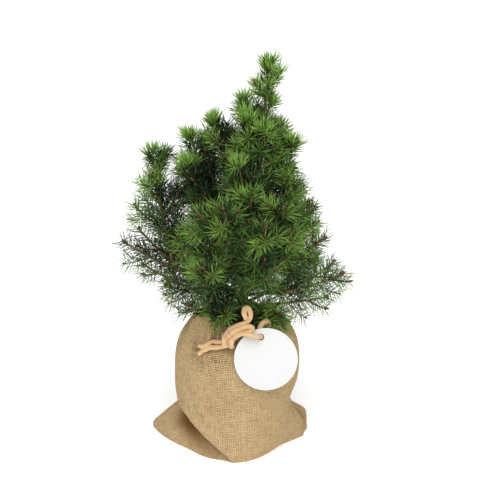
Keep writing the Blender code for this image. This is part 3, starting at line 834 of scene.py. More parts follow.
@dataclass(frozen=True)
class BudScale:
    """Papery orange-brown scales round a bud."""

    pale: Colour = (0.23, 0.115, 0.050)
    dark: Colour = (0.075, 0.036, 0.018)

    def material(self) -> bpy.types.Material:
        """Makes the material.

        Returns:
            The material.
        """
        sheet = Sheet("bud_scale", roughness=0.6)
        at = sheet.place()
        rows = sheet.grain(at, 1300, 3)
        tone = rows.between(0.35, 0.68)
        sheet.relief(rows, 0.0003)
        return sheet.finish(base_color=sheet.mixed(tone, self.dark, self.pale))


# Sack


@dataclass(frozen=True)
class Ear:
    """A corner of the bag that sticks out, with its reach, its height and its widths.

    It is blunt over an angle, and its underside is tucked in by a share of its reach.
    """

    azimuth: float
    tip: float
    top: float
    front_width: float
    back_width: float
    fullness: float
    blunt: float
    tuck: float


@dataclass(frozen=True)
class Fold:
    """A crease through places on the sack, with a raised lip, and a pocket to the left of its way.

    Each place is a compass angle and a height, and left is as seen from outside. The pocket's painted
    shade is darkest at a distance from the crease.
    """

    route: tuple[tuple[float, float], ...]
    lip: float
    pocket: float
    width: float
    # How strong the pocket's painted shade is, and how far from the crease it is darkest
    dark: float
    painted_shade_peak: float
    lip_width: float = 0.007
    lip_edge: float = 0.0016
    pocket_edge: float = 0.0022

    def beside(self, azimuth: Any, height: Any, radius: float) -> tuple[np.ndarray, np.ndarray]:
        """Tells where places on the sack lie from the crease.

        Args:
            azimuth: Their compass angles.
            height: Their heights.
            radius: The sack's radius, which makes lengths of angles.

        Returns:
            How far left of it they lie, and at which share of its length.
        """
        scale = math.radians(radius)
        first = self.route[0][0]
        stops = [(turn_between(angle, first) * scale, level) for angle, level in self.route]
        total = sum(math.dist(start, end) for start, end in zip(stops, stops[1:]))
        across, height = np.broadcast_arrays(turn_between(azimuth, first) * scale, height)
        nearest = np.full(across.shape, 1.0)
        beside, share = np.zeros(across.shape), np.zeros(across.shape)
        passed = 0.0
        for start, end in zip(stops, stops[1:]):
            run, length = (end[0] - start[0], end[1] - start[1]), math.dist(start, end)
            from_start = across - start[0], height - start[1]
            along = np.clip((from_start[0] * run[0] + from_start[1] * run[1]) / length**2, 0, 1)
            away = np.hypot(from_start[0] - along * run[0], from_start[1] - along * run[1])
            side = np.sign(run[0] * from_start[1] - run[1] * from_start[0])
            nearer = away < nearest
            nearest = np.where(nearer, away, nearest)
            beside = np.where(nearer, away * side, beside)
            share = np.where(nearer, (passed + along * length) / total, share)
            passed += length
        return beside, share

    def relief(self, azimuth: Any, height: Any, radius: float) -> np.ndarray:
        """Works out the shape of the crease.

        Args:
            azimuth: The compass angles in degrees.
            height: The heights above the underside.
            radius: The sack's radius.

        Returns:
            How far the cloth stands out there.
        """
        beside, share = self.beside(azimuth, height, radius)
        fade = np.sqrt(np.clip(np.sin(math.pi * share), 0, 1))
        lip = self.lip * bell(np.minimum(beside, 0), self.lip_width) * (1 - eased(beside / self.lip_edge))
        pocket = self.pocket * eased(beside / self.pocket_edge) * bell(np.maximum(beside, 0), self.width)
        return (lip - pocket) * fade

    def pocket_painted_shade(self, azimuth: Any, height: Any, radius: float) -> np.ndarray:
        """Works out the painted shade in the pocket.

        Args:
            azimuth: The compass angles in degrees.
            height: The heights above the underside.
            radius: The sack's radius.

        Returns:
            How dark the painted shade makes the cloth there, up to 1.
        """
        beside, share = self.beside(azimuth, height, radius)
        inside = np.where(beside > 0, bell(beside - self.painted_shade_peak, self.width * 0.75), 0.0)
        return self.dark * inside * np.clip(np.sin(math.pi * share**1.6), 0, 1)


@dataclass
class Sack:
    """The burlap bag round the root ball, with its ears, folds, gathered neck and hem."""

    height: float = 0.127
    belly_height: float = 0.080
    belly_radius: float = 0.0618
    foot_radius: float = 0.0560
    mouth_radius: float = 0.0435
    mouth_shift: float = 0.0020
    waist_depth: float = 0.0085
    waist_height: float = 0.043
    waist_spread: float = 0.017
    waist_width: float = 38
    nip_depth: float = 0.0042
    nip_height: float = 0.0390
    nip_spread: float = 0.0110
    nip_azimuth: float = 184
    nip_width: float = 40
    tuck_height: float = 0.010
    foot_tuck: float = 0.0068
    foot_tuck_height: float = 0.028
    foot_tuck_azimuth: float = 318
    foot_tuck_width: float = 32
    hem_lift: float = 0.0112
    hem_lift_azimuth: float = 228
    hem_lift_width: float = 38
    hem_lift_from: float = 0.1185
    ragged_from: float = 0.110
    raggedness: float = 0.0022
    neck_height: float = 0.088
    ear_sharpness: float = 1.9
    knot_azimuth: float = 260.5
    knot_dent: float = 0.0070
    knot_dent_width: float = 15
    hem_thickness: float = 0.0020
    hem_roundness: float = 1.3
    soil_overlap: float = 0.0015
    soil_top: float = 0.1175
    sides: int = 400
    outer_rings: int = 168
    lip_rings: int = 8
    inner_rings: int = 10
    ears: tuple[Ear, ...] = (
        Ear(168, 0.0955, 0.033, 60, 52, 0.95, 0.5, 0.22),
        Ear(358, 0.0685, 0.038, 28, 48, 1.0, 2, 0.0),
        Ear(10, 0.0730, 0.0272, 14, 26, 14.0, 2, 0.0),
        Ear(267, 0.0650, 0.050, 58, 52, 1.5, 16, 0.10),
    )
    gathers: tuple[tuple[float, float, float], ...] = ((0.0011, 9, 0.8), (0.0009, 14, 2.1))
    fine_gathers: tuple[tuple[float, float, float], ...] = ((0.0007, 31, 0.4), (0.0005, 47, 1.9))
    folds: tuple[Fold, ...] = (
        Fold(
            (
                (267, 0.001), (259, 0.011), (252, 0.0165), (244, 0.023), (235, 0.030), (218, 0.0393),
                (204, 0.043), (184, 0.044),
            ),
            0.0030, 0.0135, 0.014, 1.0, 0.0135,
        ),
        Fold(
            ((353, 0.044), (355, 0.034), (358, 0.024), (1, 0.014), (4, 0.003)),
            0.0014, 0.0045, 0.006, 0.6, 0.0040,
        ),
        Fold(((241, 0.127), (237, 0.121), (231, 0.1125)), 0.0012, 0.0034, 0.008, 0.6, 0.0040),
    )
    # Where the weave is pulled open: a compass angle, a height, a reach and how much
    strained: tuple[tuple[float, float, float, float], ...] = (
        (224, 0.112, 0.014, 1.0),
        (232, 0.098, 0.010, 0.5),
        (250, 0.104, 0.013, 0.8),
        (276, 0.112, 0.014, 0.7),
        (246, 0.128, 0.010, 1.2),
    )

    def fold_relief(self, azimuth: Any, height: Any) -> Any:
        """Returns how far the cloth stands out at its long creases."""
        return sum(crease.relief(azimuth, height, self.belly_radius) for crease in self.folds)

    def rim_lift(self, azimuth: Any) -> Any:
        """Returns how much higher than on the right the hem stands: most at the left of the knot."""
        return self.hem_lift * bell(turn_between(azimuth, self.hem_lift_azimuth), self.hem_lift_width)

    def neck_relief(self, azimuth: Any, height: Any) -> Any:
        """Works out the gathers at the neck and the dent at the knot.

        Args:
            azimuth: The compass angles in degrees.
            height: The heights above the underside.

        Returns:
            How far the cloth stands out there.
        """
        near_mouth = eased((height - self.neck_height) / (self.height - self.neck_height))
        turn = np.radians(azimuth)
        gathers = sum(depth * np.sin(count * turn + phase) for depth, count, phase in self.gathers)
        fine = sum(depth * np.sin(count * turn + phase) for depth, count, phase in self.fine_gathers)
        dent = -self.knot_dent * bell(turn_between(azimuth, self.knot_azimuth), self.knot_dent_width)
        return near_mouth * (gathers + dent) + near_mouth**2 * fine

    def radius(self, azimuth: Any, height: Any) -> Any:
        """Gives the sack's radius, for one place or for arrays of them.

        Args:
            azimuth: The compass angle in degrees.
            height: The height above the underside.

        Returns:
            The distance from the sack's axis.
        """
        height = np.asarray(height, float)
        rise = np.clip((height - self.belly_height) / (self.height - self.belly_height), 0, 1)
        fall = np.clip((self.belly_height - height) / self.belly_height, 0, 1)
        radius = self.belly_radius - (self.belly_radius - self.mouth_radius) * rise**2.6
        radius = radius - (self.belly_radius - self.foot_radius) * fall**4
        for ear in self.ears:
            turn = turn_between(azimuth, ear.azimuth)
            to_front = (turn > 0) == (turn_between(270, ear.azimuth) > 0)
            width = np.where(to_front, ear.front_width, ear.back_width)
            away = np.sqrt(turn**2 + ear.blunt**2) - ear.blunt
            beak = np.clip(1 - away / width, 0, 1) ** self.ear_sharpness
            lift = 1 - np.clip(height / ear.top, 0, 1) ** ear.fullness
            lift = lift - ear.tuck * np.clip(1 - height / self.tuck_height, 0, 1) ** 2
            radius = radius + (ear.tip - radius) * beak * lift
        off_right = turn_between(azimuth, 0) / self.waist_width
        off_waist = (height - self.waist_height) / self.waist_spread
        waist = self.waist_depth * np.exp(-(off_waist**2) - off_right**2)
        off_left = turn_between(azimuth, self.nip_azimuth) / self.nip_width
        off_nip = (height - self.nip_height) / self.nip_spread
        waist = waist + self.nip_depth * np.exp(-(off_nip**2) - off_left**2)
        low = np.clip(1 - height / self.foot_tuck_height, 0, 1) ** 2
        at_front = bell(turn_between(azimuth, self.foot_tuck_azimuth), self.foot_tuck_width)
        waist = waist + self.foot_tuck * low * at_front
        return radius - waist + self.neck_relief(azimuth, height) + self.fold_relief(azimuth, height)

    def axis(self, height: Any) -> np.ndarray:
        """Gives the sack's axis.

        Args:
            height: A height above the underside, or an array of them.

        Returns:
            The middle of the sack there.
        """
        height = np.asarray(height, float)
        lean = self.mouth_shift * (height / self.height) ** 2
        return np.stack([lean, np.zeros_like(height), height], axis=-1)

    def point(self, azimuth: Any, height: Any, outside: Any = 0.0) -> np.ndarray:
        """Gives a point on the sack, or an array of them.

        Args:
            azimuth: The compass angle in degrees.
            height: The height above the underside.
            outside: How far outside the cloth the point lies, measured level.

        Returns:
            The point.
        """
        radius = self.radius(azimuth, height) + outside
        turn = np.radians(azimuth)
        out = np.stack(np.broadcast_arrays(np.cos(turn), np.sin(turn), 0.0 * turn), axis=-1)
        return self.axis(height) + out * np.asarray(radius)[..., None]

    def slope(self, azimuth: float, height: float) -> tuple[Vector, Vector]:
        """Tells how the cloth lies.

        Args:
            azimuth: The compass angle in degrees.
            height: The height above the underside.

        Returns:
            The directions square to the cloth and up along it.
        """
        step = 0.002
        upward = Vector(self.point(azimuth, height + step) - self.point(azimuth, height - step))
        outward = compass(azimuth) - compass(azimuth).project(upward)
        return outward.normalized(), upward.normalized()

    def clear(self, points: np.ndarray, room: float) -> np.ndarray:
        """Tells which points are this far above the sack's mouth or outside its side.

        Args:
            points: The points, as rows.
            room: The distance wanted.

        Returns:
            A truth value for each point.
        """
        height = np.clip(points[:, 2], 0, self.height)
        away = points - self.axis(height)
        azimuth = np.degrees(np.arctan2(away[:, 1], away[:, 0])) % 360
        outside = np.hypot(away[:, 0], away[:, 1]) - self.radius(azimuth, height)
        return (points[:, 2] > self.height + self.rim_lift(azimuth) + room) | (outside > room)

    def table(self) -> np.ndarray:
        """Works out where each vertex of the cloth lies.

        Returns:
            The points by ring and side: up the outside, over the hem and down its inside.
        """
        azimuth = np.arange(self.sides) * 360 / self.sides
        share = (1 - np.cos(np.pi * np.arange(self.outer_rings + 1) / self.outer_rings)) / 2
        heights = self.height * (share * 0.45 + np.linspace(0, 1, self.outer_rings + 1) * 0.55)
        outer = self.point(azimuth[None, :], heights[:, None])
        ways = [compass(turn) for turn in azimuth]
        ragged = np.array([noise.noise(way * 5.0) + 0.5 * noise.noise(way * 17.0) for way in ways])
        near_top = eased((heights - self.ragged_from) / (self.height - self.ragged_from))
        outer[:, :, 2] += near_top[:, None] * ragged[None, :] * self.raggedness
        lifted = eased((heights - self.hem_lift_from) / (self.height - self.hem_lift_from))
        outer[:, :, 2] += lifted[:, None] * self.rim_lift(azimuth)[None, :]
        inward = -np.stack([np.cos(np.radians(azimuth)), np.sin(np.radians(azimuth)), 0 * azimuth], -1)
        rim = outer[-1]
        rings = [outer]
        half = self.hem_thickness / 2
        for i in range(1, self.lip_rings + 1):
            turn = math.pi * i / self.lip_rings
            lift = np.array([0, 0, half * math.sin(turn) * self.hem_roundness])
            rings.append((rim + inward * half * (1 - math.cos(turn)) + lift)[None])
        inner_rim = rings[-1][0]
        for i in range(1, self.inner_rings + 1):
            drop = (inner_rim[:, 2] - self.soil_top + self.soil_overlap) * i / self.inner_rings
            spread = inward * (-0.0006 * math.sin(math.pi * i / self.inner_rings))
            rings.append((inner_rim + spread - np.stack([0 * drop, 0 * drop, drop], -1))[None])
        return np.concatenate(rings)

    def strain(self, points: np.ndarray) -> np.ndarray:
        """Works out where the weave is pulled open: most beside the knot.

        Args:
            points: The points.

        Returns:
            How much it is pulled open at each point.
        """
        strain = np.zeros(points.shape[:-1])
        for azimuth, height, reach, amount in self.strained:
            spot = self.point(azimuth, height)
            strain += amount * bell(np.linalg.norm(points - spot, axis=-1), reach)
        return strain

    def shell(self) -> bpy.types.Object:
        """Builds the cloth with its weave's UV map in millimetres, its strain and its pockets' painted
        shade.

        Returns:
            The piece.
        """
        points = self.table()
        rings = len(points) - 1
        shape = barrel(self.sides, rings, lambda side, ring: points[ring, side])
        around = np.linalg.norm(np.roll(points, -1, axis=1) - points, axis=2)
        start = round(90 / 360 * self.sides)
        around = np.roll(around, -start, axis=1)
        u = np.concatenate([np.zeros((rings + 1, 1)), np.cumsum(around, axis=1)], axis=1)
        u -= u[:, [self.sides // 2]]
        neck = int(self.outer_rings * 0.62)
        u[neck:] = u[neck]
        upwards = np.linalg.norm(np.diff(points, axis=0), axis=2)
        v = np.concatenate([np.zeros((1, self.sides)), np.cumsum(upwards, axis=0)])
        v -= v[[int(np.abs(points[: self.outer_rings, 0, 2] - self.belly_height).argmin())]]
        strain = self.strain(points)
        places = np.arange(self.sides)[None, :] * 360 / self.sides
        levels = np.clip(points[:, :, 2], 0, self.height)
        # Painted shade in the pockets of the folds, by which the burlap is darkened
        dark = sum(crease.pocket_painted_shade(places, levels, self.belly_radius) for crease in self.folds)
        side_layer = shape.verts.layers.int["side"]
        ring_layer = shape.verts.layers.int["ring"]
        strain_layer = shape.verts.layers.float.new("strain")
        painted_shade_layer = shape.verts.layers.float.new("pocket")
        weave = shape.loops.layers.uv.new("weave")
        for vertex in shape.verts:
            vertex[strain_layer] = strain[vertex[ring_layer], vertex[side_layer]]
            vertex[painted_shade_layer] = dark[vertex[ring_layer], vertex[side_layer]]
        for face in shape.faces:
            places = [(loop.vert[side_layer] - start) % self.sides for loop in face.loops]
            wraps = max(places) - min(places) > self.sides / 2
            for loop, place in zip(face.loops, places):
                column = place + self.sides if wraps and place < self.sides / 2 else place
                if len(face.verts) > 4:
                    loop[weave].uv = loop.vert.co.xy / MM
                else:
                    ring = loop.vert[ring_layer]
                    loop[weave].uv = (u[ring, column] / MM, v[ring, loop.vert[side_layer]] / MM)
        piece = as_object("burlap", shape)
        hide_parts("burlap_sack")
        return dressed(piece, Burlap().material())

    def stray_fibres(self, count: int = 420) -> bpy.types.Object:
        """Builds the loose jute hairs that stand out of the hem and the cloth.

        Args:
            count: How many there are.

        Returns:
            The piece.
        """
        rule = random.Random("fibres")
        runs = []
        for index in range(count):
            on_hem = index % 2 == 0
            azimuth = rule.uniform(0, 360)
            height = self.height + 0.0006 if on_hem else rule.uniform(0.004, 0.12)
            outside = -0.0010 if on_hem else -0.0002
            root = Vector(self.point(azimuth, min(height, self.height), outside))
            root.z = height
            reach = rule.uniform(0.0016, 0.0045)
            way = compass(azimuth) * rule.uniform(0.1, 0.8)
            way += UP * (1.0 if on_hem else rule.uniform(-0.6, 0.6))
            way += compass(azimuth + 90) * rule.uniform(-0.9, 0.9)
            way.normalize()
            curl = Vector([rule.uniform(-1, 1) for _ in range(3)])
            path = bent(root, way, root + (way + curl * 0.5) * reach, way + curl * 1.4, 5)
            runs.append((path, [0.00011, 0.0001, 0.00009, 0.00007, 0.00004]))
        piece = as_object("jute_hairs", tubes("jute_hairs", runs, 0))
        hair = Bark("jute_hair", (0.60, 0.45, 0.27), (0.42, 0.30, 0.16), 400, 0.8)
        return dressed(piece, hair.material())


@dataclass
class RootBall:
    """The top of the root ball: crumbly soil inside the sack's mouth."""

    sack: Sack
    depth: float = 0.0050
    rings: int = 26
    sides: int = 120
    crumbs: int = 1500
    edge: float = 0.0042
    litter_edge: float = 0.0065

    def surface(self) -> bpy.types.Object:
        """Builds the uneven top of the soil.

        Returns:
            The piece.
        """

        def place(side: int, ring: int) -> Vector:
            """Places a vertex of the soil.

            Args:
                side: Which of the sides it is on.
                ring: Which of the rings it is on.

            Returns:
                Its position.
            """
            azimuth = side * 360 / self.sides
            edge = float(self.sack.radius(azimuth, self.sack.height)) - self.edge
            if ring == 0:
                return Vector(self.sack.axis(self.sack.soil_top - self.depth)) + compass(azimuth) * edge
            share = 1 - (ring - 1) / (self.rings - 1) * 0.98
            flat = Vector(self.sack.axis(self.sack.soil_top)) + compass(azimuth) * edge * share
            bumps = noise.noise(flat * 180) * 0.0011 + noise.noise(flat * 520) * 0.0006
            return flat + UP * (bumps - 0.0012)

        piece = as_object("soil_top", barrel(self.sides, self.rings, place))
        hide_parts("soil")
        return dressed(piece, Earth().material())

    def litter(self) -> bpy.types.Object:
        """Builds the crumbs of peat and bark that lie on the soil.

        Returns:
            The piece.
        """
        rule = np.random.default_rng(11)
        share = np.sqrt(rule.uniform(0, 1, self.crumbs))
        azimuth = rule.uniform(0, 360, self.crumbs)
        reach = (self.sack.radius(azimuth, self.sack.height) - self.litter_edge) * share
        turn = np.radians(azimuth)
        places = np.stack([reach * np.cos(turn), reach * np.sin(turn), 0 * reach], -1)
        places += self.sack.axis(np.full(self.crumbs, self.sack.soil_top - 0.0009))
        axes = rule.normal(size=(self.crumbs, 3, 3))
        frames = np.linalg.qr(axes)[0]
        sizes = rule.uniform(0.0004, 0.0013, (self.crumbs, 1)) * rule.uniform(0.5, 1.2, (self.crumbs, 3))
        crumb = bmesh.new()
        bmesh.ops.create_icosphere(crumb, subdivisions=1, radius=1)
        piece = as_object("soil_crumbs", scattered("soil_crumbs", crumb, frames, sizes, places))
        finish = Bark("crumb", (0.11, 0.06, 0.03), (0.02, 0.013, 0.008), 500)
        return dressed(piece, finish.material())


# Lace and tag


@dataclass
class Lace:
    """The suede lace: two strands on the sack, the knot, its loops and the strand to the tag."""

    sack: Sack
    radius: float = 0.0023
    knot_height: float = 0.1185
    knot_stand_off: float = 0.0076
    knot_radius: float = 0.0053
    outline_sides: int = 16
    outline_stretch: tuple[float, float] = (1.06, 0.88)
    bands: tuple[tuple[tuple[float, float], ...], ...] = (
        ((229.5, 0.1142), (234, 0.1160), (241, 0.1176), (250, 0.1184), (260.5, 0.1192)),
        ((231.5, 0.1070), (236, 0.1108), (242, 0.1133), (251, 0.1145), (260.5, 0.1152)),
    )
    wraps: tuple[tuple[float, float, float], ...] = ((-0.0042, 0.0055, -6), (0.0040, 0.0061, 10))
    routes: tuple[tuple[tuple[float, float, float], ...], ...] = (
        (
            (-0.0087, -0.0490, 0.1233),
            (-0.0089, -0.0515, 0.1307),
            (-0.0045, -0.0550, 0.1380),
            (0.0031, -0.0570, 0.1426),
            (0.0089, -0.0570, 0.1448),
            (0.0127, -0.0560, 0.1482),
            (0.0139, -0.0550, 0.1533),
            (0.0123, -0.0545, 0.1581),
            (0.0097, -0.0540, 0.1591),
            (0.0081, -0.0550, 0.1568),
            (0.0086, -0.0575, 0.1531),
            (0.0104, -0.0585, 0.1497),
        ),
        (
            (-0.0069, -0.0510, 0.1235),
            (-0.0066, -0.0545, 0.1301),
            (-0.0021, -0.0585, 0.1364),
            (0.0054, -0.0605, 0.1408),
            (0.0127, -0.0600, 0.1426),
            (0.0160, -0.0590, 0.1399),
            (0.0134, -0.0600, 0.1373),
            (0.0072, -0.0600, 0.1365),
            (0.0013, -0.0585, 0.1334),
            (-0.0022, -0.0550, 0.1284),
        ),
        (
            (-0.0022, -0.0520, 0.1258),
            (0.0013, -0.0585, 0.1324),
            (0.0078, -0.0622, 0.1361),
            (0.0141, -0.0634, 0.1350),
            (0.0199, -0.0626, 0.1334),
            (0.0226, -0.0598, 0.1318),
            (0.0236, -0.0550, 0.1304),
            (0.0232, -0.0510, 0.1320),
            (0.0230, -0.0485, 0.1362),
            (0.0260, -0.0460, 0.1405),
            (0.0300, -0.0430, 0.1405),
            (0.0318, -0.0385, 0.1355),
            (0.0305, -0.0335, 0.1315),
            (0.0270, -0.0285, 0.1285),
        ),
    )

    def knot_centre(self) -> Vector:
        """Places the knot, in the dent of the sack's neck.

        Returns:
            Its middle.
        """
        outward, _ = self.sack.slope(self.sack.knot_azimuth, self.knot_height)
        middle = Vector(self.sack.point(self.sack.knot_azimuth, self.knot_height))
        return middle + outward * self.knot_stand_off

    def band_route(self, places: Sequence[tuple[float, float]]) -> Path:
        """Gives one of the two strands that lie on the sack.

        Args:
            places: The compass angles and heights that it passes, from its end to the knot.

        Returns:
            Its route.
        """
        route = []
        for index, (azimuth, height) in enumerate(places):
            share = index / (len(places) - 1)
            stand_off = self.radius + 2 * GAP + (self.knot_stand_off - self.radius) * share**3
            outward, _ = self.sack.slope(azimuth, height)
            route.append(Vector(self.sack.point(azimuth, height)) + outward * stand_off)
        return route

    def wrap_route(self, beside: float, radius: float, lean: float) -> Path:
        """Gives one turn of lace over the knot, open at the back.

        Args:
            beside: How far right of the knot's middle it lies.
            radius: Its radius.
            lean: How far its top leans to the right, as an angle.

        Returns:
            Its route.
        """
        right = compass(self.sack.knot_azimuth + 90)
        outward, upward = self.sack.slope(self.sack.knot_azimuth, self.knot_height)
        upward = upward + right * math.tan(math.radians(lean))
        middle = self.knot_centre() + right * beside
        route = []
        for degrees in range(-135, 136, 30):
            turn = math.radians(degrees)
            route.append(middle + (outward * math.cos(turn) + upward * math.sin(turn)) * radius)
        return route

    def paths(self) -> list[Path]:
        """Draws the strands.

        Returns:
            Their middle lines.
        """
        routes = [self.band_route(places) for places in self.bands]
        routes += [self.wrap_route(*wrap) for wrap in self.wraps]
        return [through(route, 7) for route in (*routes, *self.routes)]

    def strand(self, path: Path, index: int) -> bpy.types.Mesh:
        """Sweeps a strand with soft edges along a path.

        Args:
            path: Its middle line.
            index: Which strand it is, for its own creases.

        Returns:
            Its mesh.
        """
        corners = []
        wide, thick = self.outline_stretch
        for i in range(self.outline_sides):
            way = compass(360 * i / self.outline_sides)
            reach = (abs(way.x) ** 3 + abs(way.y) ** 3) ** (-1 / 3) * self.radius
            corners.append((way.x * reach * wide, way.y * reach * thick, 0))
        outline = curve_of("lace_outline", [(corners, [1] * len(corners))], {"dimensions": "2D"}, True)
        profile = bpy.data.objects.new("lace_outline", outline)
        bpy.context.scene.collection.objects.link(profile)
        line = stretch_of(path, 0, length_of(path), 0.0006)
        settings = {"dimensions": "3D", "use_fill_caps": True}
        settings |= {"bevel_mode": "OBJECT", "bevel_object": profile}
        mesh = mesh_of_curve(curve_of(f"strand_{index}", [(line, [1] * len(line))], settings))
        bpy.data.objects.remove(profile)
        bpy.data.curves.remove(outline)
        roughened(mesh, 260, 0.00045, index * 3.0)
        roughened(mesh, 900, 0.00018, index * 5.0)
        return mesh

    def build(self) -> bpy.types.Object:
        """Builds all strands as one piece.

        Returns:
            The piece.
        """
        shape = bmesh.new()
        bmesh.ops.create_icosphere(shape, subdivisions=4, radius=self.knot_radius)
        bmesh.ops.translate(shape, verts=shape.verts, vec=self.knot_centre())
        for index, path in enumerate(self.paths()):
            shape.from_mesh(self.strand(path, index))
        piece = as_object("suede_lace", shape, 50)
        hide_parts("lace")
        return dressed(piece, Suede().material())


@dataclass
class Tag:
    """The blank round card that hangs on the lace, leaning with its foot to the viewer."""

    radius: float = 0.0305
    thickness: float = 0.0010
    centre: tuple[float, float, float] = (0.0288, -0.0600, 0.1088)
    tilt: float = 10
    hole: tuple[float, float] = (-0.0048, 0.0218)
    hole_radius: float = 0.0031

    def turned(self) -> Matrix:
        """Returns the matrix that puts the flat card in its place."""
        return Matrix.Translation(self.centre) @ Matrix.Rotation(math.radians(90 - self.tilt), 4, "X")

    def build(self) -> bpy.types.Object:
        """Builds the card with its punched hole and softened edges.

        Returns:
            The piece.
        """
        rounds = []
        for centre, radius, count in (((0, 0), self.radius, 144), (self.hole, self.hole_radius, 48)):
            edge = [Vector((*centre, 0)) + compass(360 * i / count) * radius for i in range(count)]
            rounds.append((edge, [1] * count))
        settings = {"dimensions": "2D", "fill_mode": "BOTH", "extrude": self.thickness / 2}
        shape = bmesh.new()
        shape.from_mesh(mesh_of_curve(curve_of("tag_card", rounds, settings, True)))
        rims = [e for e in shape.edges if e.is_manifold and e.calc_face_angle(0) > 1.2]
        bmesh.ops.bevel(
            shape, geom=rims, offset=0.00016, offset_type="OFFSET", segments=2, profile=0.5,
            affect="EDGES", material=-1,
        )
        bmesh.ops.transform(shape, matrix=self.turned(), verts=shape.verts)
        piece = as_object("tag_card", shape, 35)
        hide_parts("tag")
        return dressed(piece, Card().material())

    def clear(self, points: np.ndarray, room: float) -> np.ndarray:
        """Tells which points leave the card free, and don't stand before it.

        Args:
            points: The points, as rows.
            room: The distance wanted.

        Returns:
            A truth value for each point.
        """
        back = np.array(self.turned().inverted())
        local = points @ back[:3, :3].T + back[:3, 3]
        beside = np.hypot(local[:, 0], local[:, 1]) > self.radius + room
        return beside | (local[:, 2] < -room)


# Tree


@dataclass(frozen=True)
class Limb:
    """A limb of the tree.

    It leaves the trunk at a height, or its parent at a share of the parent's length, and reaches
    out and up along a compass angle. Its first share is a bare bough, and the rest is the stem of
    a mass. Vigour runs from 0, thin and shaded, to 1, a bright and bushy shoot.
    """

    name: str
    parent: str | None
    at: float
    azimuth: float
    reach: float
    rise: float
    upturn: float
    bare: float
    vigour: float


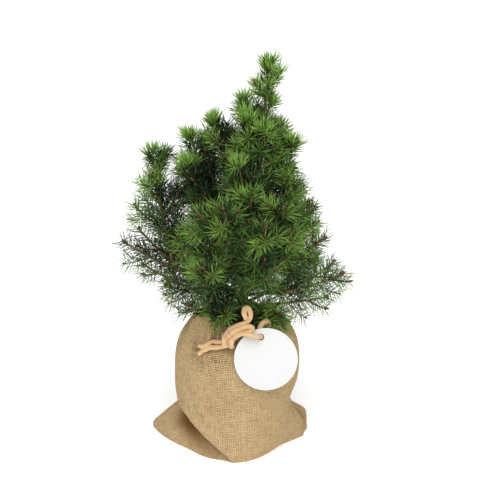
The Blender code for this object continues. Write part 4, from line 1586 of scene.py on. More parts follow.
LIMBS = (
    Limb("upper_left", None, 0.315, 164, 0.018, 0.030, 0.3, 0, 0.8),
    Limb("upper_right", None, 0.322, 20, 0.008, 0.025, 0.3, 0, 0.7),
    Limb("upper_front_left", None, 0.292, 240, 0.025, 0.045, 0.4, 0, 1.0),
    Limb("upper_front", None, 0.284, 279, 0.030, 0.046, 0.4, 0, 1.0),
    Limb("shoulder_right", None, 0.258, 343, 0.035, 0.050, 0.3, 0, 0.8),
    Limb("shoulder_right_top", "shoulder_right", 0.30, 20, 0.011, 0.050, 0.3, 0, 0.8),
    Limb("right_upper", None, 0.226, 347, 0.046, 0.048, 0.3, 0, 0.6),
    Limb("right_upper_back", "right_upper", 0.25, 30, 0.038, 0.026, 0.3, 0, 0.5),
    Limb("right_mid", None, 0.196, 345, 0.062, 0.052, 0.3, 0.22, 0.5),
    Limb("right_mid_back", "right_mid", 0.36, 20, 0.048, 0.012, 0.3, 0, 0.3),
    Limb("right_side", None, 0.172, 339, 0.080, 0.048, 0.3, 0.22, 0.5),
    Limb("right_low", None, 0.151, 351, 0.097, 0.028, 0.3, 0.24, 0.2),
    Limb("right_low_back", "right_low", 0.38, 24, 0.058, 0.024, 0.3, 0, 0.2),
    Limb("right_foot", None, 0.139, 4, 0.087, 0.008, 0.1, 0.28, 0.1),
    Limb("front_right_foot", None, 0.134, 312, 0.057, 0.014, 0.3, 0, 0.6),
    Limb("left_high", None, 0.212, 176, 0.058, 0.099, 0.5, 0.20, 0.9),
    Limb("left_high_top", "left_high", 0.45, 200, 0.016, 0.054, 0.3, 0, 0.9),
    Limb("left_high_back", "left_high", 0.34, 160, 0.047, 0.044, 0.5, 0, 0.6),
    Limb("left_high_front", "left_high", 0.28, 202, 0.044, 0.050, 0.5, 0, 0.8),
    Limb("left_high_under", "left_high", 0.22, 186, 0.042, 0.020, 0.3, 0, 0.5),
    Limb("left_crown", None, 0.248, 180, 0.039, 0.081, 0.5, 0, 1.0),
    Limb("front_tuft", None, 0.230, 254, 0.047, 0.070, 0.5, 0, 1.0),
    Limb("left_far", None, 0.151, 187, 0.120, 0.063, 0.2, 0.22, 0.2),
    Limb("left_far_upper", "left_far", 0.42, 178, 0.051, 0.050, 0.2, 0, 0.2),
    Limb("left_spire", "left_far", 0.55, 172, 0.020, 0.116, 0.1, 0, 0.9),
    Limb("left_mid", None, 0.180, 192, 0.066, 0.046, 0.4, 0.22, 0.5),
    Limb("left_low", None, 0.139, 190, 0.097, 0.050, 0.2, 0.24, 0.2),
    Limb("left_low_under", "left_low", 0.36, 172, 0.040, 0.008, 0.2, 0, 0.2),
    Limb("left_foot", None, 0.131, 200, 0.054, 0.016, 0.4, 0, 0.5),
    Limb("front_foot", None, 0.135, 245, 0.060, 0.022, 0.3, 0, 0.6),
    Limb("front_left", None, 0.152, 243, 0.083, 0.054, 0.3, 0.22, 0.5),
    Limb("front_right", None, 0.158, 284, 0.083, 0.062, 0.3, 0.22, 0.5),
    Limb("front_left_upper", None, 0.170, 226, 0.066, 0.058, 0.3, 0.20, 0.5),
    Limb("front_right_upper", None, 0.205, 302, 0.058, 0.052, 0.4, 0, 0.6),
    Limb("front_mid_left", None, 0.190, 253, 0.077, 0.074, 0.4, 0.20, 0.5),
    Limb("front_mid_left_side", "front_mid_left", 0.34, 218, 0.046, 0.042, 0.4, 0, 0.5),
    Limb("front_mid_right", None, 0.180, 283, 0.079, 0.068, 0.4, 0.20, 0.5),
    Limb("front_mid_right_side", "front_mid_right", 0.34, 325, 0.046, 0.038, 0.4, 0, 0.5),
    Limb("front_upper", None, 0.216, 270, 0.060, 0.054, 0.4, 0, 0.6),
    Limb("back_upper", None, 0.272, 80, 0.032, 0.050, 0.4, 0, 0.9),
    Limb("back_left_upper", None, 0.240, 122, 0.045, 0.062, 0.5, 0, 0.8),
    Limb("back_right_upper", None, 0.233, 48, 0.048, 0.056, 0.4, 0, 0.8),
    Limb("back_mid", None, 0.203, 92, 0.070, 0.060, 0.4, 0.20, 0.5),
    Limb("back_left_mid", None, 0.184, 137, 0.084, 0.064, 0.4, 0.22, 0.5),
    Limb("back_right_mid", None, 0.175, 45, 0.082, 0.050, 0.4, 0.22, 0.5),
    Limb("back_low", None, 0.150, 92, 0.090, 0.040, 0.3, 0.24, 0.3),
    Limb("back_foot", "back_low", 0.30, 112, 0.046, -0.002, 0.3, 0, 0.2),
    Limb("back_left_low", None, 0.144, 142, 0.098, 0.044, 0.3, 0.24, 0.3),
    Limb("back_right_low", None, 0.141, 40, 0.090, 0.028, 0.3, 0.24, 0.3),
)


BARE_LIMBS = [limb for limb in LIMBS if limb.bare]


class Order(IntEnum):
    """What a shoot is, from a limb's own stem to the short shoots of a tuft."""

    STEM = 0
    TWIG = 1
    FINE = 2
    TUFT = 3


@dataclass(frozen=True)
class Shoot:
    """A stem or twig that needles stand on, with its radii, its mass, its order and its vigour."""

    path: Path
    thick: float
    thin: float
    mass: str
    order: Order
    vigour: float


@dataclass
class Wood:
    """The trunk and the limbs."""

    foot: Vector = field(default_factory=lambda: Vector((0.0040, 0, 0.1178)))
    tip: Vector = field(default_factory=lambda: Vector((0.0278, 0, 0.340)))
    leader_tip: Vector = field(default_factory=lambda: Vector((0.0310, -0.0010, 0.3810)))
    sway: float = 0.0022
    foot_radius: float = 0.0048
    tip_radius: float = 0.0015
    root_flare: float = 0.0030
    flare_height: float = 0.009
    sides: int = 40
    rings: int = 260
    limb_tip_radius: float = 0.0008
    limb_thickening: float = 0.0110
    limb_sag: float = 0.6
    bough_spacing: float = 0.0008
    collar: float = 0.0006
    collar_length: float = 0.004

    def trunk_point(self, height: float) -> Vector:
        """Returns the middle of the trunk at a height: a slight lean with a soft sway."""
        share = (height - self.foot.z) / (self.tip.z - self.foot.z)
        return self.foot.lerp(self.tip, share) + Vector((0, 1, 0)) * self.sway * math.sin(math.tau * share)

    def trunk_radius(self, height: float) -> float:
        """Works out the trunk's taper, with the root flare at the soil.

        Args:
            height: A height above the underside.

        Returns:
            The trunk's radius there.
        """
        above = height - self.foot.z
        share = above / (self.tip.z - self.foot.z)
        flare = self.root_flare * max(0, 1 - above / self.flare_height) ** 2
        return self.foot_radius + (self.tip_radius - self.foot_radius) * share + flare

    def trunk(self) -> bpy.types.Object:
        """Builds the trunk with the relief of its scaly bark.

        Returns:
            The piece.
        """

        def place(side: int, ring: int) -> Vector:
            """Places a vertex of the trunk.

            Args:
                side: Which of the sides it is on.
                ring: Which of the rings it is on.

            Returns:
                Its position.
            """
            height = self.foot.z + (self.tip.z - self.foot.z) * ring / self.rings
            way = compass(side * 360 / self.sides)
            around = way * 2.2 + UP * height * 150
            plates = noise.voronoi(around * 1.3)[0]
            relief = min(plates[1] - plates[0], 0.35) * 0.0016 + noise.noise(around * 3) * 0.0003
            return self.trunk_point(height) + way * (self.trunk_radius(height) - 0.0003 + relief)

        piece = as_object("trunk_bark", barrel(self.sides, self.rings, place))
        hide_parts("trunk")
        bark = Bark("trunk_bark", (0.26, 0.165, 0.10), (0.055, 0.034, 0.022), 420)
        return dressed(piece, bark.material())

    def limb_paths(self) -> dict[str, Path]:
        """Draws each limb, from the trunk's axis or its parent's to its tip.

        Returns:
            The limbs' middle lines by name.
        """
        paths: dict[str, Path] = {}
        for limb in LIMBS:
            if limb.parent is None:
                start = self.trunk_point(limb.at)
            else:
                parent = paths[limb.parent]
                start = point_at(parent, limb.at * length_of(parent))[0]
            reach = compass(limb.azimuth) * limb.reach + UP * limb.rise
            way = reach.normalized()
            start_way = way - UP * limb.upturn * self.limb_sag
            paths[limb.name] = bent(start, start_way, start + reach, way + UP * limb.upturn)
        return paths

    def radius_at(self, path: Path, distance: float) -> float:
        """Returns a limb's radius this far from its root."""
        return self.limb_tip_radius + self.limb_thickening * (length_of(path) - distance)

    def root_of(self, path: Path) -> float:
        """Finds where a limb clears the trunk's bark.

        Args:
            path: Its middle line.

        Returns:
            How far along the line.
        """
        distance = 0.0
        while True:
            point, along = point_at(path, distance)
            from_axis = (point - self.trunk_point(point.z)).xy.length
            leaning = self.radius_at(path, distance) * abs(along.z)
            if from_axis > self.trunk_radius(point.z) + leaning + GAP:
                return distance
            distance += 0.0002

    def boughs(self, paths: dict[str, Path]) -> bpy.types.Object:
        """Builds the bare boughs with their bark, each with a swollen collar at the trunk.

        Args:
            paths: The limbs' middle lines.

        Returns:
            The piece.
        """
        runs = []
        for limb in BARE_LIMBS:
            path = paths[limb.name]
            start, end = self.root_of(path), length_of(path) * limb.bare
            line = stretch_of(path, start - 0.0012, end + 0.002, self.bough_spacing)
            radii = []
            for i in range(len(line)):
                swollen = self.collar * max(0, 1 - i * self.bough_spacing / self.collar_length)
                radii.append(self.radius_at(path, start + (end - start) * i / (len(line) - 1)) + swollen)
            runs.append((line, radii))
        mesh = tubes("bough_bark", runs, 4)
        roughened(mesh, 420, 0.00045)
        roughened(mesh, 1300, 0.0002)
        piece = as_object("bough_bark", mesh)
        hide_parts(*[f"{limb.name}_bough" for limb in BARE_LIMBS])
        bark = Bark("bough_bark", (0.36, 0.22, 0.115), (0.11, 0.062, 0.034), 520)
        return dressed(piece, bark.material())


class Room:
    """The middle lines of all that stands in the crown, so that each mass keeps its own room."""

    def __init__(self) -> None:
        """Starts empty."""
        self.points: list[Vector] = []
        self.masses: list[str] = []
        self.radii: list[float] = []
        self.arrays: list[np.ndarray] = []

    def take(self, mass: str, path: Path, radius: float) -> None:
        """Marks the room of a shoot.

        Args:
            mass: The mass that it belongs to.
            path: Its middle line.
            radius: Its radius.
        """
        for point in stretch_of(path, 0, length_of(path), 0.0015):
            self.points.append(point)
            self.masses.append(mass)
            self.radii.append(radius)

    def settle(self) -> None:
        """Makes arrays of all that has been marked."""
        self.arrays = [np.array(column) for column in (self.points, self.masses, self.radii)]

    def nearest(self, mass: str, point: Vector) -> tuple[float, float]:
        """Measures how near the shoots are to a point.

        Args:
            mass: A mass.
            point: The point.

        Returns:
            How near this mass's shoots are, and anything else.
        """
        points, masses, radii = self.arrays
        away = np.linalg.norm(points - np.array(point), axis=1) - radii
        own = masses == mass
        return away[own].min(initial=1.0), away[~own].min(initial=1.0)


@dataclass
class Crown:
    """The foliage: twigs that branch off the stems by a seeded rule, their needles and buds."""

    sack: Sack
    lace: Lace
    tag: Tag
    wood: Wood
    twig_spacing: float = 0.0145
    twig_spacing_share: float = 0.25
    twig_first: float = 0.20
    twig_last: float = 0.86
    twig_length: float = 0.015
    twig_growth: float = 0.32
    twig_spread: float = 48
    twig_lift: float = 0.30
    twig_room: float = 0.0060
    twig_gap: float = 0.0045
    twig_shortest: float = 0.010
    twig_beyond: float = 0.0045
    twig_sparse: float = 2.2
    twig_radius: float = 0.0009
    twig_taper: float = 0.7
    twig_shortening: float = 0.8
    twig_scatter: tuple[float, float] = (0.85, 1.1)
    bare_foot: float = 0.004
    fine_spacing: float = 0.0055
    fine_spacing_scatter: tuple[float, float] = (0.8, 1.25)
    fine_first: float = 0.12
    fine_radius: float = 0.0006
    fine_spread: tuple[float, float] = (40, 56)
    fine_roll_scatter: float = 12
    fine_growth: float = 0.36
    fine_scatter: tuple[float, float] = (0.8, 1.1)
    fine_longest: float = 0.032
    fine_shortest: float = 0.008
    fine_shortening: float = 0.75
    fine_room: float = 0.0068
    fine_sparse: float = 3.0
    fine_clear: float = 0.004
    # Shoots stronger than this end in a tuft
    tuft_vigour: float = 0.65
    tuft_depth: tuple[float, float] = (0.001, 0.007)
    tuft_spread: tuple[float, float] = (26, 46)
    leader_spread: float = 6
    tuft_reach: tuple[float, float] = (0.0045, 0.0080)
    # Limbs stronger than this have inner shoots on their stems as well
    inner_vigour: float = 0.4
    inner_shortest: float = 0.018
    bough_vigour: float = 0.45
    stem_vigour: float = 0.40
    trunk_span: tuple[float, float] = (0.128, 0.312)
    trunk_turns: int = 4
    trunk_shortest: float = 0.030
    point_spacing: float = 0.0025
    needle_length: float = 0.0182
    needle_density: float = 1750
    needle_bushiness: float = 1050
    tuft_density: float = 900
    # Slanting directions that no shoot follows, which the side axes are made with
    needle_hint: Colour = (0.31, 0.17, 0.93)
    bud_hint: Colour = (0.3, 0.2, 0.93)
    ageing_length: float = 0.032
    oldest: float = 1.2
    age_scatter: float = 0.3
    # How much the depth in the crown darkens the needles' greens: painted shade, added to their real age
    painted_shade_weight: float = 6.6
    age_shift: float = -0.75
    age_and_shade_steps: tuple[float, ...] = (0.45, 1.05, 1.9, 2.8)
    dull_mass: str = "upper_left"
    dullness: float = 0.8
    olive_share: float = 0.08
    needles_in_piece: int = 14000
    # By order of the shoot
    bud_sizes: tuple[float, ...] = (1.7, 1.4, 1.0, 0.6)
    bud_counts: tuple[int, ...] = (5, 4, 2, 1)
    bud_scale: Colour = (0.00105, 0.00105, 0.0024)
    shoots: list[Shoot] = field(default_factory=list)

    def stems(self, paths: dict[str, Path]) -> dict[str, list[Shoot]]:
        """Gives each mass's stems: that of its limb, or of the leader, and of the side limbs.

        Args:
            paths: The limbs' middle lines.

        Returns:
            The stems by the mass's name.
        """
        wood = self.wood
        way = (wood.leader_tip - wood.tip).normalized()
        leader = [wood.tip + way * GAP, wood.tip.lerp(wood.leader_tip, 0.5), wood.leader_tip]
        stem = Shoot(leader, wood.tip_radius, self.twig_radius, "leader", Order.STEM, 1.0)
        masses = {"leader": [stem]}
        for limb in LIMBS:
            path = paths[limb.name]
            start = 0.0
            if limb.bare:
                start = length_of(path) * limb.bare + GAP
            elif limb.parent is None:
                start = wood.root_of(path)
            line = stretch_of(path, start, length_of(path), 0.003)
            mass = limb.parent or limb.name
            thick = wood.radius_at(path, start)
            stem = Shoot(line, thick, self.twig_radius, mass, Order.STEM, limb.vigour)
            masses.setdefault(mass, []).append(stem)
        return masses

    def holds(self, room: Room, mass: str, twig: Path) -> bool:
        """Tells whether a twig stays clear of other twigs, masses and the sack.

        Args:
            room: What stands in the crown.
            mass: The mass that the twig belongs to.
            twig: Its path.

        Returns:
            Whether it is clear.
        """
        beyond = twig[-1] + (twig[-1] - twig[-2]).normalized() * self.twig_beyond
        checked = [*twig[3:], beyond]
        if not self.sack.clear(np.array(checked), self.twig_room).all():
            return False
        if any(room.nearest(mass, point)[1] < self.twig_room for point in checked):
            return False
        return all(room.nearest(mass, point)[0] > self.twig_gap for point in twig[5:])

    def twigs_on(self, seed: str, stem: Path, room: Room, mass: str, vigour: float) -> list[Path]:
        """Branches twigs off a stem on a spiral, where there is room for them.

        Args:
            seed: What the chance of the rule starts from.
            stem: The stem's path.
            room: What stands in the crown.
            mass: The mass that the stem belongs to.
            vigour: The stem's vigour: strong stems have short, upright twigs.

        Returns:
            The twigs' paths.
        """
        rule = random.Random(seed)
        length = length_of(stem)
        roll = rule.uniform(0, 360)
        spacing = min(self.twig_spacing, self.twig_spacing_share * length)
        spacing *= 1 + self.twig_sparse * max(0.0, 0.5 - vigour)
        distance = max(self.bare_foot, self.twig_first * length)
        twigs = []
        while distance < self.twig_last * length:
            point, along = point_at(stem, distance)
            roll += GOLDEN_ANGLE
            strong = max(0.0, vigour_at(vigour, length - distance) - 0.4)
            way = sideways(along, roll, self.twig_spread) + UP * (self.twig_lift + 0.6 * strong)
            reach = self.twig_length + self.twig_growth * (length - distance)
            reach *= rule.uniform(*self.twig_scatter) * (1 - 0.8 * strong)
            while reach > self.twig_shortest:
                end = point + way.normalized() * reach
                twig = bent(point, way, end, way + along * 0.5 + UP * 0.2, 8)
                if self.holds(room, mass, twig):
                    twigs.append(twig)
                    break
                reach *= self.twig_shortening
            distance += spacing
        return twigs

    def side_shoots(
        self, stem: Shoot, seed: str, taken: list[np.ndarray], reach_out: float, least: float = 0.012
    ) -> list[Shoot]:
        """Branches finer shoots off a stem or twig, wherever none is near.

        Args:
            stem: The stem or twig.
            seed: What the chance of the rule starts from.
            taken: The points of all shoots so far, to which the new ones are added.
            reach_out: Up to which share of the stem's length they stand.
            least: The length of those nearest to the stem's tip.

        Returns:
            The new shoots.
        """
        rule = random.Random(seed)
        length = length_of(stem.path)
        roll = rule.uniform(0, 360)
        distance = max(self.bare_foot, self.fine_first * length)
        room = self.fine_room * (1 + self.fine_sparse * max(0.0, 0.45 - stem.vigour))
        apart = room * np.array([0.5, 0.8, 1, 1])
        fine = []
        while distance < length * reach_out:
            point, along = point_at(stem.path, distance)
            roll += GOLDEN_ANGLE + rule.uniform(-self.fine_roll_scatter, self.fine_roll_scatter)
            vigour = vigour_at(stem.vigour, length - distance)
            spread = rule.uniform(*self.fine_spread) - 8 * vigour
            way = sideways(along, roll, spread) + UP * (0.1 + 0.3 * vigour)
            reach = min(self.fine_longest, least + self.fine_growth * (length - distance))
            reach *= rule.uniform(*self.fine_scatter)
            while reach > self.fine_shortest:
                end = point + way.normalized() * reach
                path = bent(point, way, end, way + along * 0.5 + UP * 0.25 * vigour, 6)
                beyond = np.array(path[2:])
                away = np.linalg.norm(np.concatenate(taken)[:, None] - beyond[None], axis=2).min(0)
                if (away > apart).all() and self.sack.clear(beyond, self.fine_clear).all():
                    thick, thin = self.fine_radius, self.fine_radius * 0.8
                    fine.append(Shoot(path, thick, thin, stem.mass, Order.FINE, vigour * 0.8))
                    taken.append(np.array(stretch_of(path, reach * 0.35, reach, self.point_spacing)))
                    break
                reach *= self.fine_shortening
            distance += self.fine_spacing * rule.uniform(*self.fine_spacing_scatter)
        return fine

    def tuft(self, stem: Shoot, seed: str) -> list[Shoot]:
        """Branches a whorl of short shoots off a strong shoot, just under its tip.

        Args:
            stem: The stem or twig.
            seed: What the chance of the rule starts from.

        Returns:
            The short shoots.
        """
        rule = random.Random(seed)
        length = length_of(stem.path)
        roll = rule.uniform(0, 360)
        whorl = []
        for _ in range(round(3 + 3 * stem.vigour - stem.order)):
            roll += GOLDEN_ANGLE
            point, along = point_at(stem.path, length - rule.uniform(*self.tuft_depth))
            spread = rule.uniform(*self.tuft_spread) + self.leader_spread * (stem.mass == "leader")
            way = sideways(along, roll, spread) + UP * 0.2
            reach = rule.uniform(*self.tuft_reach)
            end = point + way.normalized() * reach
            path = bent(point, way, end, way + along * 0.6 + UP * 0.4, 6)
            thick, thin = self.fine_radius * 1.3, self.fine_radius
            whorl.append(Shoot(path, thick, thin, stem.mass, Order.TUFT, stem.vigour))
        return whorl

    def grow(self, paths: dict[str, Path]) -> None:
        """Grows all shoots of the crown.

        Args:
            paths: The limbs' middle lines.
        """
        room = Room()
        for path in self.lace.paths():
            room.take("lace", path, self.lace.radius)
        wood = self.wood
        middle = [wood.trunk_point(wood.foot.z), wood.trunk_point(0.23), wood.tip]
        room.take("trunk", middle, wood.foot_radius)
        for limb in BARE_LIMBS:
            path = paths[limb.name]
            start, end = wood.root_of(path), length_of(path) * limb.bare
            line = stretch_of(path, start, end, 0.010)
            room.take(limb.name + "_bough", line, wood.radius_at(path, start))
        masses = self.stems(paths)
        for mass, stems in masses.items():
            for stem in stems:
                room.take(mass, stem.path, stem.thick)
        room.settle()
        for mass, shoots in masses.items():
            for index, stem in enumerate(list(shoots)):
                for twig in self.twigs_on(f"{mass}/{index}", stem.path, room, mass, stem.vigour):
                    room.take(mass, twig, self.twig_radius)
                    thin = self.twig_radius * self.twig_taper
                    vigour = vigour_at(stem.vigour, (twig[0] - stem.path[-1]).length)
                    shoots.append(Shoot(twig, self.twig_radius, thin, mass, Order.TWIG, vigour))
                room.settle()
            self.shoots += shoots
        lines = [stretch_of(s.path, 0, length_of(s.path), self.point_spacing) for s in self.shoots]
        taken = [np.array(line) for line in lines]
        for index, shoot in enumerate(list(self.shoots)):
            if shoot.vigour > self.tuft_vigour:
                self.shoots += self.tuft(shoot, f"tuft/{index}")
            reach_out = 0.8 if shoot.order == Order.STEM else 0.6
            self.shoots += self.side_shoots(shoot, f"fine/{index}", taken, reach_out)
        self.fill(paths, masses, taken)
        total = sum(length_of(shoot.path) for shoot in self.shoots)
        log.info("crown: %d shoots, %.1f m", len(self.shoots), total)

    def fill(self, paths: dict[str, Path], masses: dict[str, list[Shoot]], taken: list) -> None:
        """Grows the inner shoots: on the bare boughs, on the stems of strong limbs and on the trunk.

        Args:
            paths: The limbs' middle lines.
            masses: The stems and twigs by the mass's name.
            taken: The points of all shoots so far, to which the new ones are added.
        """
        for limb in BARE_LIMBS:
            path = paths[limb.name]
            end = length_of(path) * limb.bare
            line = stretch_of(path, 0.012 + 0.3 * end, end + 0.006, 0.003)
            bough = Shoot(line, 0.001, 0.001, limb.name, Order.STEM, self.bough_vigour)
            turns, least = (2, 0.024) if limb.vigour > self.inner_vigour else (1, 0.012)
            for turn in range(turns):
                self.shoots += self.side_shoots(bough, f"inner/{limb.name}/{turn}", taken, 1, least)
        for mass, shoots in masses.items():
            if shoots[0].vigour > self.inner_vigour:
                stem = Shoot(shoots[0].path, 0.001, 0.001, mass, Order.STEM, self.stem_vigour)
                self.shoots += self.side_shoots(stem, f"inner/{mass}", taken, 0.55, self.inner_shortest)
        line = [self.wood.trunk_point(height) for height in np.arange(*self.trunk_span, 0.003)]
        stem = Shoot(line, 0.003, 0.002, "leader", Order.STEM, self.bough_vigour)
        for turn in range(self.trunk_turns):
            self.shoots += self.side_shoots(stem, f"inner/trunk/{turn}", taken, 1, self.trunk_shortest)

    def twigs(self) -> list[bpy.types.Object]:
        """Builds the bark of the stems and of the twigs.

        Returns:
            The two pieces.
        """
        stems, twigs = [], []
        for shoot in self.shoots:
            of_limb = shoot.order == Order.STEM
            spacing = 0.0015 if of_limb else 0.0025
            line = stretch_of(shoot.path, 0, length_of(shoot.path), spacing)
            radii = np.linspace(shoot.thick, shoot.thin, len(line))
            (stems if of_limb else twigs).append((line, radii))
        mesh = tubes("stem_bark", stems, 2)
        roughened(mesh, 700, 0.0003)
        bark = Bark("stem_bark", (0.30, 0.20, 0.10), (0.125, 0.078, 0.038), 700)
        stem_piece = dressed(as_object("stem_bark", mesh), bark.material())
        bark = Bark("twig_bark", (0.22, 0.155, 0.062), (0.105, 0.068, 0.028), 900)
        twig_piece = as_object("twig_bark", tubes("twig_bark", twigs, 0))
        return [stem_piece, dressed(twig_piece, bark.material())]

    def needle_shape(self) -> bmesh.types.BMesh:
        """Makes one needle: a slim three-sided blade, a unit long, along +Z.

        Returns:
            The needle.
        """
        shape = column(3, 0.75, 0, 1)
        for vertex in shape.verts:
            vertex.co.z += 0.5
            if 0.1 < vertex.co.z < 0.9:
                vertex.co.xy *= 2.2
                vertex.co.z = 0.55
        return shape

    def density(self, vigour: Any) -> Any:
        """Returns how many needles stand on a metre of wood of this vigour."""
        return self.needle_density + self.needle_bushiness * vigour

    def spray(self, shoot: Shoot, number: int, rule: np.random.Generator) -> dict[str, np.ndarray]:
        """Works out where the needles of a shoot stand.

        Args:
            shoot: The shoot.
            number: Its number, which turns its spiral.
            rule: The chance of the rule, which goes on from shoot to shoot.

        Returns:
            By name: the needles' roots, ways, bends, sizes along their three axes, ages and curls,
            and the number of the shoot.
        """
        length = length_of(shoot.path)
        of_limb = shoot.order == Order.STEM
        start = min(min(0.012, length * 0.15) if of_limb else self.bare_foot, 0.2 * length)
        per_metre = self.density(shoot.vigour) + self.tuft_density * (shoot.order == Order.TUFT)
        count = max(4, int((length - start) * per_metre))
        share = (np.arange(count) + rule.uniform(0, 0.8, count)) / count
        at = start + (length - start) * np.clip(share, 0, 1)
        line = np.array(stretch_of(shoot.path, 0, length, 0.001))
        spans = np.linspace(0, length, len(line))
        slope = np.gradient(line, axis=0)
        root = np.stack([np.interp(at, spans, line[:, k]) for k in range(3)], -1)
        along = unit(np.stack([np.interp(at, spans, slope[:, k]) for k in range(3)], -1))
        side = unit(np.cross(along, self.needle_hint))
        other = np.cross(along, side)
        turn = np.radians(number * 61.0 + GOLDEN_ANGLE * np.arange(count) + rule.normal(0, 12, count))
        out = side * np.cos(turn)[:, None] + other * np.sin(turn)[:, None]
        to_tip = length - at
        young = np.exp(-to_tip / 0.008)
        vigour = vigour_at(shoot.vigour, to_tip) if of_limb else np.full(count, shoot.vigour)
        spread, close = 76 - 22 * vigour, 60 - 30 * vigour
        lean = np.radians(spread + (close - spread) * young + rule.normal(0, 8, count))
        way = along * np.cos(lean)[:, None] + out * np.sin(lean)[:, None]
        way[:, 2] += 0.02 + 0.20 * vigour
        way = unit(way)
        reach = self.needle_length * (1 - 0.12 * vigour) * (1 - 0.08 * young)
        reach *= rule.uniform(0.8, 1.08, count)
        wide = rule.uniform(0.00042, 0.00048, count) + 0.00008 * vigour
        bend = along * 1.0
        bend[:, 2] += 0.6 * vigour - 0.35
        bend -= way * np.einsum("ij,ij->i", bend, way)[:, None]
        age = np.minimum(to_tip / self.ageing_length, self.oldest) + (1 - vigour) * 0.25
        values = {
            "root": root,
            "way": way,
            "bend": unit(bend),
            "size": np.stack([wide, wide * 0.8, reach], -1),
            "age": age + rule.normal(0, self.age_scatter, count),
            "curl": rule.uniform(0.08, 0.30, count) * (1.3 - 0.6 * vigour),
            "shoot": np.full(count, number),
        }
        kept = rule.uniform(0, 1, count) < self.density(vigour) / self.density(shoot.vigour)
        return {key: value[kept] for key, value in values.items()}

    def shade(self, roots: np.ndarray) -> np.ndarray:
        """Tells for each shoot how deep it lies in the crown.

        Args:
            roots: Where the needles stand.

        Returns:
            For each shoot about the share of its light that other needles take.
        """
        tree = KDTree(len(roots[::5]))
        for index, root in enumerate(roots[::5]):
            tree.insert(root, index)
        tree.balance()
        depth = []
        for shoot in self.shoots:
            middle = point_at(shoot.path, length_of(shoot.path) * 0.6)[0]
            out = middle - self.wood.trunk_point(min(middle.z, self.wood.tip.z))
            out.z = 0
            probe = middle + (out.normalized() + UP * 0.8).normalized() * 0.016
            depth.append(len(tree.find_range(probe, 0.014)))
        return np.array(depth) / max(depth)

    def clear_of_fittings(self, points: np.ndarray) -> np.ndarray:
        """Tells which points keep clear of the sack, the lace and the tag.

        Args:
            points: The points, as rows.

        Returns:
            A truth value for each point.
        """
        free = self.sack.clear(points, 0.0005) & self.tag.clear(points, 0.001)
        for path in self.lace.paths():
            for spot in stretch_of(path, 0, length_of(path), 0.003):
                free &= np.linalg.norm(points - np.array(spot), axis=1) > self.lace.radius + 0.0006
        return free

    def needles(self) -> list[bpy.types.Object]:
        """Builds the needles, in pieces for each of their greens.

        Returns:
            The pieces.
        """
        rule = np.random.default_rng(5)
        sprays = [self.spray(shoot, number, rule) for number, shoot in enumerate(self.shoots)]
        spray = {key: np.concatenate([one[key] for one in sprays]) for key in sprays[0]}
        reach = spray["way"] * spray["size"][:, 2:]
        free = self.clear_of_fittings(spray["root"] + reach)
        free &= self.clear_of_fittings(spray["root"] + reach * 0.5)
        spray = {key: values[free] for key, values in spray.items()}
        rule = np.random.default_rng(8)
        own = rule.normal(0, self.age_scatter, len(self.shoots))
        own += [self.dullness * (shoot.mass == self.dull_mass) for shoot in self.shoots]
        # Needles deep in the crown are dealt darker greens, a painted shade on top of their real age
        own += self.painted_shade_weight * self.shade(spray["root"]) + self.age_shift
        green = np.digitize(spray["age"] + own[spray["shoot"]], self.age_and_shade_steps)
        olive = (rule.uniform(0, 1, len(green)) < self.olive_share) & (green > 0) & (green < 4)
        green = np.where(olive, 5, green)
        frames = np.stack([spray["bend"], np.cross(spray["way"], spray["bend"]), spray["way"]], axis=1)
        pieces = []
        for index, kind in enumerate(Green):
            mine = np.flatnonzero(green == index)
            parts = max(1, math.ceil(len(mine) / self.needles_in_piece))
            for part, chosen in enumerate(np.array_split(mine, parts)):
                name = f"needles_{kind.name.lower()}_{part}"
                sizes, places, curl = (spray[key][chosen] for key in ("size", "root", "curl"))
                mesh = scattered(name, self.needle_shape(), frames[chosen], sizes, places, curl)
                pieces.append(dressed(as_object(name, mesh), Needle(kind).material()))
        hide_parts(*sorted({f"{shoot.mass}_mass" for shoot in self.shoots}))
        return pieces

    def buds(self) -> bpy.types.Object:
        """Builds the buds at the tips, and the old bud scales where shoots leave the stems.

        Returns:
            The piece.
        """
        rule = np.random.default_rng(23)
        places, ways, sizes = [], [], []
        for shoot in self.shoots:
            tip, along = shoot.path[-1], (shoot.path[-1] - shoot.path[-2]).normalized()
            large = self.bud_sizes[shoot.order] * (1.15 - 0.5 * shoot.vigour)
            for turn in range(self.bud_counts[shoot.order]):
                lean = along
                if turn:
                    lean = (along * 0.8 + Vector(rule.normal(0, 0.8, 3))).normalized()
                places.append(tip - along * 0.0004 * turn)
                ways.append(lean)
                sizes.append(large * rule.uniform(0.85, 1.15) * (1 if turn == 0 else 0.8))
            if shoot.order in (Order.TWIG, Order.TUFT):
                foot, out = shoot.path[0], (shoot.path[1] - shoot.path[0]).normalized()
                for _ in range(2):
                    places.append(foot + out * rule.uniform(0.0006, 0.0022))
                    ways.append((out + Vector(rule.normal(0, 0.4, 3))).normalized())
                    sizes.append(rule.uniform(0.6, 0.95))
        way = np.array(ways)
        side = unit(np.cross(way, self.bud_hint))
        frames = np.stack([side, np.cross(way, side), way], axis=1)
        scale = np.array(sizes)[:, None] * np.array(self.bud_scale)
        bud = column(6, 0.6, 0.15, 1)
        bmesh.ops.translate(bud, verts=bud.verts, vec=(0, 0, 0.4))
        for vertex in bud.verts:
            vertex.co.xy *= 1 + 1.3 * math.exp(-(((vertex.co.z - 0.35) / 0.3) ** 2))
        piece = as_object("buds", scattered("buds", bud, frames, scale, np.array(places)))
        return dressed(piece, BudScale().material())


# Studio


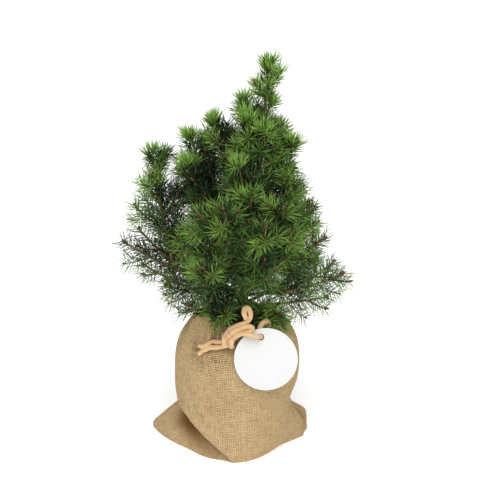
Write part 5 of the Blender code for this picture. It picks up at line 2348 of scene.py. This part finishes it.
@dataclass
class Studio:
    """A white sweep, soft light and the camera."""

    distance: float = 1.6
    elevation: float = 20
    aim: tuple[float, float, float] = (0.0136, 0, 0.198)
    lens: float = 118.7
    sensor: float = 36
    sky: float = 0.44
    # The light's compass angle, elevation, spread and strength
    key_light: tuple[float, float, float, float] = (272, 54, 64, 2.6)

    def floor(self) -> None:
        """Lays the pale floor."""
        shape = bmesh.new()
        bmesh.ops.create_grid(shape, x_segments=1, y_segments=1, size=6)
        piece = as_object("floor", shape)
        sheet = Sheet("floor", roughness=0.9, emission_color=(1, 1, 1, 1), emission_strength=0.3)
        at = sheet.place()
        cloud = sheet.grain(at, 3, 2).between(0.3, 0.7)
        white = sheet.mixed(cloud, (0.91, 0.91, 0.91), (0.93, 0.93, 0.93))
        piece.data.materials.append(sheet.finish(base_color=white))

    def sun(self, name: str, azimuth: float, elevation: float, spread: float, strength: float) -> None:
        """Adds a broad, distant light.

        Args:
            name: The light's name.
            azimuth: The compass angle from which it shines.
            elevation: Its height as an angle.
            spread: How wide it looks from the tree, as an angle.
            strength: Its strength in watts per square metre.
        """
        light = bpy.data.lights.new(name, "SUN")
        light.angle = math.radians(spread)
        light.energy = strength
        lamp = bpy.data.objects.new(name, light)
        bpy.context.scene.collection.objects.link(lamp)
        level = compass(azimuth) * math.cos(math.radians(elevation))
        lamp.location = level + UP * math.sin(math.radians(elevation))
        lamp.rotation_euler = (-lamp.location).to_track_quat("-Z", "Y").to_euler()

    def camera(self) -> None:
        """Sets up the camera."""
        data = bpy.data.cameras.new("camera")
        data.lens = self.lens
        data.sensor_width = self.sensor
        data.clip_end = 20
        camera = bpy.data.objects.new("camera", data)
        bpy.context.scene.collection.objects.link(camera)
        tilt = math.radians(self.elevation)
        aim = Vector(self.aim)
        camera.location = aim + Vector((0, -math.cos(tilt), math.sin(tilt))) * self.distance
        camera.rotation_euler = (math.radians(90 - self.elevation), 0, 0)
        bpy.context.scene.camera = camera

    def build(self) -> None:
        """Sets up the whole studio."""
        self.floor()
        world = bpy.data.worlds.new("studio")
        world.use_nodes = True
        world.node_tree.nodes["Background"].inputs[0].default_value = (1, 1, 1, 1)
        world.node_tree.nodes["Background"].inputs[1].default_value = self.sky
        bpy.context.scene.world = world
        self.sun("key", *self.key_light)
        self.camera()
        bpy.context.scene.view_settings.view_transform = "Standard"


def main() -> None:
    """Builds the sack, the lace, the tag, the tree and the studio."""
    logging.basicConfig(level=logging.INFO, format="%(name)s %(message)s")
    Studio().build()
    sack = Sack()
    sack.shell()
    sack.stray_fibres()
    root_ball = RootBall(sack)
    root_ball.surface()
    root_ball.litter()
    lace = Lace(sack)
    lace.build()
    tag = Tag()
    tag.build()
    wood = Wood()
    paths = wood.limb_paths()
    wood.trunk()
    wood.boughs(paths)
    crown = Crown(sack, lace, tag, wood)
    crown.grow(paths)
    crown.twigs()
    crown.needles()
    crown.buds()


if __name__ == "__main__":
    main()
